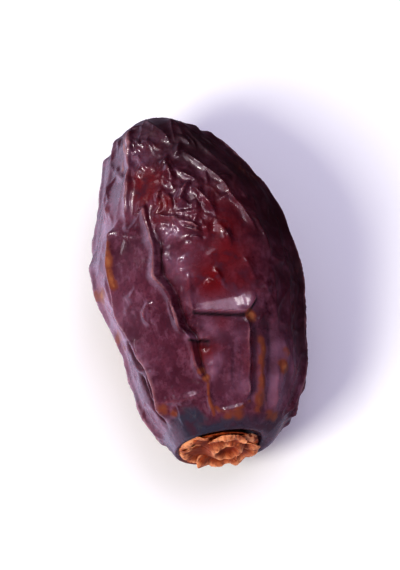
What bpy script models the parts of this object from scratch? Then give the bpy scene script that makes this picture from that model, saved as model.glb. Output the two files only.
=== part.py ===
"""Medjool date: the dried fruit, lying on its side, with the woody calyx cap at its stem end.

Metres, +Z up. The long axis runs along Y, with the calyx at -Y and the fruit's tip at +Y.
The origin is on the surface that the fruit lies on, under the middle of its box.
A place on the skin is given by its station, which is the share of the length from the calyx (0)
to the tip (1), and by its angle round the fruit in degrees: 0 on top, 90 on the +X side.
"""

import math
import random

import bmesh
import bpy
import numpy as np
from mathutils import Vector, noise

MM = 0.001

# Driving dimensions
LENGTH = 47.5 * MM
HEIGHT_TO_WIDTH = 0.93
ROUND_POWER = 2.15
REST_DEPTH = 0.5 * MM
CALYX_LOBES = 6
SKIN_SEGMENTS, SKIN_RINGS = 86, 66
CALYX_SEGMENTS, CALYX_RINGS = 60, 28

# From the middle of the plain fruit to the middle of the box
BOX_SHIFT = (0.295 * MM, 0.0)

# Half the lengthwise section, from the middle of the hollow under the calyx to the tip:
# (station, half width in mm, shift of the middle towards +X in mm)
PROFILE = (
    (0.060, 0.0, -0.8), (0.052, 3.4, -0.8), (0.030, 4.9, -0.7), (0.022, 5.95, -0.4), (0.036, 6.75, 0.0),
    (0.075, 7.75, 0.4), (0.14, 9.1, 0.55), (0.24, 10.3, 0.85), (0.36, 11.4, 1.1), (0.48, 12.4, 0.75),
    (0.59, 12.3, 0.3), (0.70, 10.95, 0.0), (0.80, 9.0, -0.5), (0.88, 7.15, -1.2), (0.945, 5.1, -1.8),
    (0.985, 2.8, -2.2), (1.0, 0.0, -2.3),
)

# Folds of the upper side: (height in mm, half width in mm, places along the crest).
# A fold with a height below zero is a groove.
UPPER_FOLDS = (
    # Edge of the long smooth plate on the -X side, and the groove beside it
    (0.94, 1.0, ((0.66, -27), (0.60, -23), (0.565, -23), (0.53, -25), (0.49, -29), (0.455, -32), (0.42, -30),
                 (0.39, -28), (0.35, -27.5), (0.315, -26), (0.285, -24.5), (0.245, -21.5), (0.21, -20),
                 (0.17, -18), (0.14, -14), (0.12, -11.5))),
    (-0.50, 1.0, ((0.52, -19), (0.48, -22.5), (0.44, -24), (0.40, -21.5), (0.35, -21), (0.315, -20),
                  (0.285, -18), (0.255, -15), (0.22, -13), (0.18, -11), (0.14, -7.5), (0.11, -5.5))),
    # Beaded fold in the middle
    (0.65, 0.8, ((0.47, -19), (0.42, -17.5), (0.38, -17), (0.34, -16), (0.315, -14), (0.295, -17),
                 (0.285, -21))),
    # Bar across the middle, with the step down below it
    (1.26, 1.1, ((0.345, -13), (0.336, -8), (0.335, 0), (0.338, 9), (0.350, 17), (0.372, 23))),
    (-0.72, 0.85, ((0.308, -12), (0.301, -5), (0.300, 5), (0.303, 13), (0.309, 17))),
    # Short bar below it
    (0.58, 0.75, ((0.270, -19), (0.268, -12), (0.265, -4), (0.268, 3))),
    (-0.58, 0.75, ((0.248, -18), (0.245, -12), (0.243, -5))),
    # Straight edge on the +X side of the lower plate, its groove and the two tan folds beyond it
    (0.84, 0.85, ((0.315, 17), (0.27, 18), (0.22, 18.5), (0.17, 18.5), (0.12, 18), (0.09, 15))),
    (-0.67, 0.85, ((0.31, 22.5), (0.25, 22.5), (0.20, 22), (0.15, 22), (0.10, 22), (0.07, 22))),
    (0.77, 0.95, ((0.26, 26), (0.20, 27.5), (0.15, 28), (0.10, 28), (0.065, 29))),
    (-0.50, 0.8, ((0.30, 34), (0.22, 36), (0.15, 37), (0.09, 36), (0.05, 34))),
    (0.67, 1.0, ((0.24, 44), (0.18, 47), (0.14, 49), (0.10, 49), (0.06, 44))),
    # Lower edges of the plates, round the smooth collar above the calyx
    (0.62, 0.75, ((0.085, -9), (0.072, -5), (0.069, 3), (0.075, 10), (0.085, 17))),
    (0.62, 0.75, ((0.12, -11.5), (0.10, -9.5), (0.075, -10), (0.052, -9))),
    (0.72, 0.8, ((0.105, -12), (0.106, -20), (0.100, -28), (0.092, -38), (0.100, -46), (0.115, -54))),
    (0.50, 0.75, ((0.125, -45), (0.138, -40), (0.150, -35))),
    # Long fold low on the -X side, with its groove
    (1.10, 1.0, ((0.64, -53), (0.58, -59), (0.54, -63), (0.50, -64), (0.46, -66), (0.43, -70), (0.40, -72),
                 (0.36, -71), (0.32, -68), (0.28, -63), (0.24, -59), (0.20, -57), (0.16, -58), (0.12, -57),
                 (0.085, -60))),
    (-0.72, 0.8, ((0.42, -79), (0.36, -78), (0.32, -74), (0.28, -70), (0.24, -66), (0.20, -64), (0.16, -65))),
    # Folds near the tip
    (0.94, 1.0, ((0.95, -38), (0.91, -41), (0.86, -43), (0.81, -44), (0.76, -45.5), (0.71, -46), (0.67, -44),
                 (0.63, -43))),
    (-0.48, 0.8, ((0.90, -35), (0.84, -36.5), (0.78, -37), (0.72, -37), (0.67, -35))),
    (0.67, 0.8, ((0.86, 7), (0.79, 14.5), (0.75, 20), (0.70, 27), (0.66, 32), (0.60, 36), (0.52, 38))),
    (0.65, 0.9, ((0.96, 38), (0.90, 31), (0.83, 30), (0.77, 35), (0.70, 45))),
    (0.60, 0.9, ((0.95, 58), (0.88, 51), (0.80, 52), (0.73, 57))),
    (0.58, 0.8, ((0.96, -75), (0.90, -68), (0.84, -66), (0.78, -65), (0.72, -67))),
    (0.50, 0.75, ((0.97, -20), (0.92, -18), (0.88, -20), (0.84, -26))),
    (0.50, 0.75, ((0.97, 10), (0.93, 0), (0.88, -4), (0.84, -3), (0.80, -6))),
    # Crumpled patch on top, below the tip
    (0.67, 0.75, ((0.705, -11), (0.70, -15.5), (0.67, -17.5), (0.64, -16.5), (0.625, -13), (0.637, -9.5),
                 (0.665, -10))),
    (0.65, 0.75, ((0.71, -2), (0.67, -5.5), (0.64, -5), (0.62, -2.5), (0.607, 0), (0.603, 4))),
    (0.74, 0.75, ((0.63, -21), (0.615, -15), (0.607, -11), (0.59, -8.5), (0.572, -6), (0.56, -2))),
    (0.74, 0.75, ((0.60, -4.5), (0.58, -1), (0.563, 3), (0.548, 7))),
    (0.60, 0.75, ((0.545, -3.5), (0.53, 0), (0.512, 2.5))),
    (0.65, 0.75, ((0.82, -8), (0.79, -7), (0.755, -7.5), (0.73, -5))),
    (0.58, 0.75, ((0.70, 2), (0.69, 6), (0.67, 10), (0.64, 12), (0.605, 12))),
    (0.58, 0.75, ((0.655, 3), (0.645, 7), (0.625, 9))),
    # Small wrinkles on the long plate
    (0.43, 0.75, ((0.445, -61), (0.425, -55), (0.430, -49), (0.445, -46))),
    (0.43, 0.75, ((0.410, -67), (0.402, -60), (0.408, -53))),
    (0.50, 0.75, ((0.392, -40), (0.402, -44.5), (0.388, -48.5), (0.368, -47), (0.355, -42))),
    # Lumps and small folds between the crumpled patch and the bar
    (0.50, 0.8, ((0.555, -16), (0.548, -12))),
    (0.41, 0.8, ((0.525, -21), (0.515, -19))),
    (0.43, 0.8, ((0.478, -19), (0.462, -15), (0.440, -13))),
    (0.43, 0.75, ((0.386, -10), (0.390, -3), (0.387, 4), (0.400, 8))),
    # Faint folds on the +X side
    (0.67, 1.0, ((0.64, 46), (0.55, 44), (0.45, 42), (0.38, 43), (0.33, 40), (0.27, 42))),
    (0.74, 1.1, ((0.72, 60), (0.62, 60), (0.50, 57), (0.40, 59), (0.30, 57), (0.20, 60), (0.11, 58))),
    (0.43, 0.8, ((0.50, 14), (0.46, 10), (0.41, 8.5), (0.38, 9))),
    (0.46, 0.9, ((0.60, 35), (0.575, 40), (0.57, 46))),
    (0.48, 0.9, ((0.345, 20), (0.36, 28), (0.385, 35), (0.38, 43))),
    (0.48, 0.9, ((0.30, 41), (0.285, 49), (0.30, 57))),
    (0.48, 0.9, ((0.475, 42), (0.46, 50), (0.48, 57))),
)

# Long folds of the sides and the underside, which run from the collar to the tip
LONG_FOLD_ANGLES = (76, 94, 113, 132, 151, 170, 190, 209, 228, 248, 267)
LONG_FOLD_HEIGHT = (0.75, 1.15)
LONG_FOLD_HALF_WIDTH = (0.95, 1.25)
LONG_FOLD_REACH = (0.07, 0.93)
LONG_FOLD_STEP = 0.055
LONG_FOLD_WANDER = 5.0
LONG_FOLD_PULL = 0.25
LINK_HEIGHT = (0.55, 0.95)
LINK_HALF_WIDTH = (0.85, 1.05)
LINK_SPACING = (0.09, 0.16)
LINK_LEAN = 0.035
LINK_BEND = 0.012
FOLD_SEED = 23

# Roundness of a fold's crest, as a share of its half width
CREST_ROUND = 0.5

# How far from a fold's ends its height fades, and the share of it that is left there
FOLD_FADE = 1.5 * MM
FOLD_END_HEIGHT = 0.25

# Place that the fruit rests on, and the radius round it that has no folds
REST_PLACE = (0.5, 180)
REST_CLEAR = 4.4 * MM

# Slow swells of the whole skin
SWELL_HEIGHT = 0.50 * MM
SWELL_LENGTH = 8.5 * MM

# Calyx cap, back to front: (radius in mm, distance behind the front of the fruit in mm)
CALYX_SECTION = (
    (0.0, 2.55), (2.2, 2.40), (3.3, 2.10), (4.1, 1.45), (4.8, 1.02), (5.15, 0.74), (4.95, 0.42),
    (4.2, 0.40), (3.2, 0.62), (2.45, 0.60), (1.95, 0.20), (1.55, 0.0), (1.15, 0.14), (0.95, 0.75),
    (0.70, 1.40), (0.0, 1.60),
)
LOBES_FROM = 1.9 * MM
LOBES_FULL = 3.5 * MM
LOBE_LAP = 0.14
LOBE_STEP = 0.50 * MM
LOBE_SCALLOP = 0.11
LOBE_TURN = 14
FIBRES = 27
FIBRE_HEIGHT = 0.05 * MM

SKIN_COLOUR = (0.085, 0.018, 0.026, 1)
CALYX_COLOUR = (0.56, 0.17, 0.045, 1)


def spline(p, per_span):
    """A smooth curve through all the points but the first and the last, which only steer its ends."""
    t = np.linspace(0, 1, per_span, endpoint=False)[:, None]
    spans = [0.5 * (2 * b + (c - a) * t + (2 * a - 5 * b + 4 * c - d) * t**2 + (3 * b - a - 3 * c + d) * t**3)
             for a, b, c, d in zip(p, p[1:], p[2:], p[3:])]
    return np.vstack([*spans, p[-2:-1]])


def curve_through(places, per_span):
    p = np.asarray(places, float)
    return spline(np.vstack([2 * p[0] - p[1], p, 2 * p[-1] - p[-2]]), per_span)


def turned_curve(points, count, mirror):
    """Evenly spaced points along a section whose two ends lie on its axis."""
    p = np.asarray(points, float)
    fine = spline(np.vstack([p[1] * mirror, p, p[-2] * mirror]), 16)
    run = np.concatenate([[0], np.cumsum(np.linalg.norm(np.diff(fine[:, :2], axis=0), axis=1))])
    even = np.linspace(0, run[-1], count)
    return np.column_stack([np.interp(even, run, fine[:, k]) for k in range(fine.shape[1])])


SECTION_LINE = turned_curve(np.array(PROFILE) * (LENGTH, MM, MM), 600, (1, -1, 1))
RIM = np.argmin(SECTION_LINE[:120, 0])
OUTER_LINE = SECTION_LINE[RIM:]
FLOOR = -SECTION_LINE[:, 1].max() * HEIGHT_TO_WIDTH + REST_DEPTH


def plain_skin(line, angle):
    """Points of the plain fruit, without folds: line holds distance along, half width and shift."""
    s, c = np.sin(angle), np.cos(angle)
    power = 2 / ROUND_POWER
    x = line[:, 2] + line[:, 1] * np.sign(s) * np.abs(s) ** power
    z = line[:, 1] * HEIGHT_TO_WIDTH * np.sign(c) * np.abs(c) ** power
    return np.column_stack([x, line[:, 0] - LENGTH / 2, z])


def skin_point(station, degrees):
    """Points of the plain fruit at these stations and angles, on its outer side."""
    along = np.asarray(station, float) * LENGTH
    line = np.column_stack([along, *(np.interp(along, OUTER_LINE[:, 0], OUTER_LINE[:, k]) for k in (1, 2))])
    return plain_skin(line, np.radians(np.asarray(degrees, float)))


def side_folds():
    """Long folds of the sides and the underside, with short ones that link each to the next."""
    rng = random.Random(FOLD_SEED)
    first, last = LONG_FOLD_REACH
    steps = round((last - first) / LONG_FOLD_STEP)
    stations = [first + (last - first) * k / steps for k in range(steps + 1)]
    long_folds, links = [], []
    for start in LONG_FOLD_ANGLES:
        angle = start
        places = []
        for station in stations:
            places.append((station, angle))
            angle += rng.uniform(-1, 1) * LONG_FOLD_WANDER + LONG_FOLD_PULL * (start - angle)
        long_folds.append((rng.uniform(*LONG_FOLD_HEIGHT), rng.uniform(*LONG_FOLD_HALF_WIDTH), places))
    for (_, _, left), (_, _, right) in zip(long_folds, long_folds[1:]):
        station = first + rng.uniform(0.3, 1) * LINK_SPACING[0]
        while station < last - LINK_SPACING[0]:
            lean = rng.uniform(-LINK_LEAN, LINK_LEAN)
            ends = [(at, float(np.interp(at, stations, [angle for _, angle in fold])))
                    for at, fold in ((station, left), (station + lean, right))]
            (a, from_angle), (b, to_angle) = ends
            bend = ((a + b) / 2 + rng.uniform(-LINK_BEND, LINK_BEND), (from_angle + to_angle) / 2)
            links.append((rng.uniform(*LINK_HEIGHT), rng.uniform(*LINK_HALF_WIDTH), [ends[0], bend, ends[1]]))
            station += rng.uniform(*LINK_SPACING)
    return long_folds + links


def smooth_step(x):
    x = np.clip(x, 0, 1)
    return x * x * (3 - 2 * x)


def fold_height(points, fold):
    """Height that one fold gives each point: a rounded crest with hollow flanks, low at both ends."""
    height, half_width, places = fold
    crest = skin_point(*curve_through(places, 6).T)
    starts, spans = crest[:-1], np.diff(crest, axis=0)
    lengths = np.linalg.norm(spans, axis=1)
    run = np.concatenate([[0], np.cumsum(lengths)])
    nearest = np.full(len(points), np.inf)
    place = np.zeros(len(points))
    for start, span, length, before in zip(starts, spans, lengths, run):
        share = np.clip((points - start) @ span / length**2, 0, 1)
        distance = np.linalg.norm(points - start - share[:, None] * span, axis=1)
        closer = distance < nearest
        nearest[closer] = distance[closer]
        place[closer] = before + share[closer] * length
    ends = smooth_step(np.minimum(place, run[-1] - place) / FOLD_FADE)
    across = nearest / (half_width * MM)
    shape = np.exp(CREST_ROUND - np.sqrt(across**2 + CREST_ROUND**2))
    return height * MM * shape * (FOLD_END_HEIGHT + (1 - FOLD_END_HEIGHT) * ends)


def relief(points):
    """Height of the folded skin over the plain fruit."""
    crests = np.zeros(len(points))
    grooves = np.zeros(len(points))
    for fold in (*UPPER_FOLDS, *side_folds()):
        target = crests if fold[0] > 0 else grooves
        target += np.abs(fold_height(points, fold) / MM) ** 3
    swell = np.array([noise.noise(Vector(p) / SWELL_LENGTH) for p in points])
    total = MM * (np.cbrt(crests) - np.cbrt(grooves)) + SWELL_HEIGHT * swell
    rest = np.linalg.norm(points - skin_point(*np.reshape(REST_PLACE, (2, 1))), axis=1)
    return total * smooth_step(rest / REST_CLEAR - 1)


def sphere_object(name, segments, rings, collection):
    """A UV sphere as a new object, with each vertex's share of the way from pole to pole and its angle."""
    bm = bmesh.new()
    bmesh.ops.create_uvsphere(bm, u_segments=segments, v_segments=rings, radius=1)
    unit = np.array([v.co for v in bm.verts])
    mesh = bpy.data.meshes.new(name)
    bm.to_mesh(mesh)
    bm.free()
    thing = bpy.data.objects.new(name, mesh)
    collection.objects.link(thing)
    share = np.arccos(np.clip(unit[:, 2], -1, 1)) / math.pi
    return thing, share, np.arctan2(unit[:, 1], unit[:, 0])


def set_points(mesh, points):
    mesh.vertices.foreach_set("co", np.asarray(points, np.float32).ravel())
    mesh.update()


def vertex_normals(mesh):
    normals = np.empty(len(mesh.vertices) * 3, np.float32)
    mesh.vertex_normals.foreach_get("vector", normals)
    return normals.reshape(-1, 3).astype(float)


def on_surface(points):
    """From the frame in the middle of the plain fruit to the object's own frame."""
    return np.asarray(points) - (BOX_SHIFT[0], BOX_SHIFT[1], FLOOR)


def make_fruit(collection):
    """The fruit: one closed skin, with its folds, the hollow for the calyx and the flat spot it rests on."""
    fruit, share, angle = sphere_object("date_fruit", SKIN_SEGMENTS, SKIN_RINGS, collection)
    even = np.linspace(0, 1, len(SECTION_LINE))
    line = np.column_stack([np.interp(share, even, SECTION_LINE[:, k]) for k in range(3)])
    plain = plain_skin(line, angle)
    set_points(fruit.data, plain)
    face_outwards(fruit)
    out_of_hollow = np.clip((share - even[RIM]) / (0.5 * even[RIM]), 0, 1)
    skin = plain + vertex_normals(fruit.data) * (relief(plain) * out_of_hollow)[:, None]
    skin[:, 2] = np.maximum(skin[:, 2], FLOOR)
    set_points(fruit.data, on_surface(skin))
    return fruit


def make_calyx(collection):
    """The calyx cap: a woody disc of overlapping lobes, with a raised ring round the scar of its strand."""
    calyx, share, angle = sphere_object("calyx_cap", CALYX_SEGMENTS, CALYX_RINGS, collection)
    line = turned_curve(np.array(CALYX_SECTION) * MM, 400, (-1, 1))
    even = np.linspace(0, 1, len(line))
    radius, depth = (np.interp(1 - share, even, line[:, k]) for k in range(2))
    outward = np.clip((radius - LOBES_FROM) / (LOBES_FULL - LOBES_FROM), 0, 1)
    front = 1 - share > even[np.argmax(line[:, 0])]
    turn = angle + math.radians(LOBE_TURN)
    lobe = (turn * CALYX_LOBES / math.tau) % 1
    overlap = np.minimum(lobe / (1 - LOBE_LAP), (1 - lobe) / LOBE_LAP)
    radius = radius * (1 + LOBE_SCALLOP * outward * (np.abs(np.sin(turn * CALYX_LOBES / 2)) - 0.6))
    rise = outward * (LOBE_STEP * (overlap - 0.5) + FIBRE_HEIGHT * np.cos(FIBRES * angle))
    depth = depth - np.where(front, rise, 0)
    middle = PROFILE[0][2] * MM
    x = middle + radius * np.sin(angle)
    z = radius * np.cos(angle)
    set_points(calyx.data, on_surface(np.column_stack([x, depth - LENGTH / 2, z])))
    return calyx


def face_outwards(thing):
    """Turns the faces outwards and shades the piece smooth."""
    bm = bmesh.new()
    bm.from_mesh(thing.data)
    bmesh.ops.recalc_face_normals(bm, faces=bm.faces)
    bm.to_mesh(thing.data)
    bm.free()
    thing.data.shade_smooth()
    thing.data.set_sharp_from_angle(angle=math.radians(60))


def make_material(name, colour, roughness):
    material = bpy.data.materials.new(name)
    material.use_nodes = True
    shader = material.node_tree.nodes["Principled BSDF"]
    shader.inputs["Base Color"].default_value = colour
    shader.inputs["Roughness"].default_value = roughness
    shader.inputs["Metallic"].default_value = 0
    return material


def main():
    for thing in list(bpy.data.objects):
        bpy.data.objects.remove(thing)
    collection = bpy.data.collections.new("medjool_date")
    bpy.context.scene.collection.children.link(collection)
    for thing, colour, roughness in (
        (make_fruit(collection), SKIN_COLOUR, 0.32),
        (make_calyx(collection), CALYX_COLOUR, 0.7),
    ):
        face_outwards(thing)
        thing.data.materials.append(make_material(f"{thing.name}_skin", colour, roughness))
        box = np.array([v.co for v in thing.data.vertices]) / MM
        print(thing.name, "from", box.min(0).round(2), "to", box.max(0).round(2), "mm")


main()
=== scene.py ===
# %% [markdown]
# # A medjool date
# A medjool date is a soft fruit that dries on its tree. Its flesh shrinks, its thin skin doesn't, and so
# the skin lies in folds round smooth, slightly hollow plates. At the blunt end sits the calyx, a small
# woody cap. We take the plain solids of both, and dress them with a finer skin and a finer cap.

import math
import random

import bmesh
import bpy
import numpy as np
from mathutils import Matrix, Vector, noise


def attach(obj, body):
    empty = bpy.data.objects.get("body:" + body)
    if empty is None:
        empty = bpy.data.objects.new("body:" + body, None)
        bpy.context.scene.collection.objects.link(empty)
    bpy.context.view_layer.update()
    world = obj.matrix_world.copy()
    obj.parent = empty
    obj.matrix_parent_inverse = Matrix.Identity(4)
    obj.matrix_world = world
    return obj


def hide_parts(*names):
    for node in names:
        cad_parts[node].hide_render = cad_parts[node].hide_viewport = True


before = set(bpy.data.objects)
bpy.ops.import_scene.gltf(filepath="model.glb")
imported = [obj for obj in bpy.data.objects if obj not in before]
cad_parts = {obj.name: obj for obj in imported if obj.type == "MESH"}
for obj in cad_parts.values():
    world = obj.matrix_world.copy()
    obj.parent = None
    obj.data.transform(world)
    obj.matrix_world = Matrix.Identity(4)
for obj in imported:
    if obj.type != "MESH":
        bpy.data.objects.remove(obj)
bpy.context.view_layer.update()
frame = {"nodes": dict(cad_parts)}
MM = 0.001
print("solids:", ", ".join(frame["nodes"]))

# %% [markdown]
# ## The plain fruit
# Without its folds the fruit is a turned shape, a little flattened, and bowed to one side. We could lathe
# it, but a fold has to know where it is on the fruit. So we keep a formula that takes a station, which is
# the share of the length from the calyx to the tip, and an angle round the fruit, 0 on top.

# %% Sizes of the plain fruit
LENGTH = 47.5 * MM
HEIGHT_TO_WIDTH = 0.93
ROUND_POWER = 2.15
REST_DEPTH = 0.5 * MM
BOX_MIDDLE = 0.295 * MM

# (station, half width in mm, shift of the middle towards +X in mm)
PROFILE = (
    (0.060, 0.0, -0.8), (0.052, 3.4, -0.8), (0.030, 4.9, -0.7), (0.022, 5.95, -0.4), (0.036, 6.75, 0.0),
    (0.075, 7.75, 0.4), (0.14, 9.1, 0.55), (0.24, 10.3, 0.85), (0.36, 11.4, 1.1), (0.48, 12.4, 0.75),
    (0.59, 12.3, 0.3), (0.70, 10.95, 0.0), (0.80, 9.0, -0.5), (0.88, 7.15, -1.2), (0.945, 5.1, -1.8),
    (0.985, 2.8, -2.2), (1.0, 0.0, -2.3),
)
print("profile of", len(PROFILE), "places on a fruit", round(LENGTH / MM, 1), "mm long")

# %% [markdown]
# A smooth line through a few points keeps the numbers few. The Catmull-Rom formula below passes through
# every point, and a mirrored point past each end makes the line meet the axis squarely, with no peak.

# %% Smooth lines
def spline(p, per_span):
    """A smooth curve through all the points but the first and the last, which only steer its ends."""
    t = np.linspace(0, 1, per_span, endpoint=False)[:, None]
    spans = [0.5 * (2 * b + (c - a) * t + (2 * a - 5 * b + 4 * c - d) * t**2
                    + (3 * b - a - 3 * c + d) * t**3)
             for a, b, c, d in zip(p, p[1:], p[2:], p[3:])]
    return np.vstack([*spans, p[-2:-1]])


def curve_through(places, per_span):
    p = np.asarray(places, float)
    return spline(np.vstack([2 * p[0] - p[1], p, 2 * p[-1] - p[-2]]), per_span)


def turned_curve(points, count, mirror):
    """Evenly spaced points along a section whose two ends lie on its axis."""
    p = np.asarray(points, float)
    fine = spline(np.vstack([p[1] * mirror, p, p[-2] * mirror]), 16)
    run = np.concatenate([[0], np.cumsum(np.linalg.norm(np.diff(fine[:, :2], axis=0), axis=1))])
    even = np.linspace(0, run[-1], count)
    return np.column_stack([np.interp(even, run, fine[:, k]) for k in range(fine.shape[1])])


SECTION_POINTS = 600
FRONT_SHARE = 0.2
section = turned_curve(np.array(PROFILE) * (LENGTH, MM, MM), SECTION_POINTS, (1, -1, 1))
rim = np.argmin(section[:round(FRONT_SHARE * SECTION_POINTS), 0])
outer = section[rim:]
floor_z = -section[:, 1].max() * HEIGHT_TO_WIDTH + REST_DEPTH
print("widest half width", round(section[:, 1].max() / MM, 2), "mm")

# %% [markdown]
# A fold or a spot is named by a station and an angle, and these functions find its point. The section is
# a power curve a little squarer than an oval. The fruit is worked out round its own axis, and moved down
# into the solids' frame, where it lies on the floor, when its folds are done.

# %% Places on the skin
def plain_skin(line, angle):
    """Points of the plain fruit: line holds distance along, half width and shift."""
    s, c = np.sin(angle), np.cos(angle)
    power = 2 / ROUND_POWER
    x = line[:, 2] + line[:, 1] * np.sign(s) * np.abs(s) ** power
    z = line[:, 1] * HEIGHT_TO_WIDTH * np.sign(c) * np.abs(c) ** power
    return np.column_stack([x, line[:, 0] - LENGTH / 2, z])


def skin_point(station, degrees):
    along = np.asarray(station, float) * LENGTH
    line = np.column_stack([along, *(np.interp(along, outer[:, 0], outer[:, k]) for k in (1, 2))])
    return plain_skin(line, np.radians(np.asarray(degrees, float)))


def distance_to(points, station, degrees):
    return np.linalg.norm(points - skin_point([station], [degrees]), axis=1)


def in_row_frame(points):
    return np.asarray(points) - (BOX_MIDDLE, 0, floor_z)


print("the tip is at", (in_row_frame(skin_point([1], [0]))[0] / MM).round(1), "mm")

# %% [markdown]
# ## The folds
# Each fold is a line of places that its crest runs through, with a height and a half width. The third
# number says how far the crest has dried to tan, which happens where the skin is pinched thin, and the
# fourth how far the fold leans: like a wave, it then has one long flank and one steep one.
# Sculpting by hand would look as good, but a list can be read, and changed one fold at a time.

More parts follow.
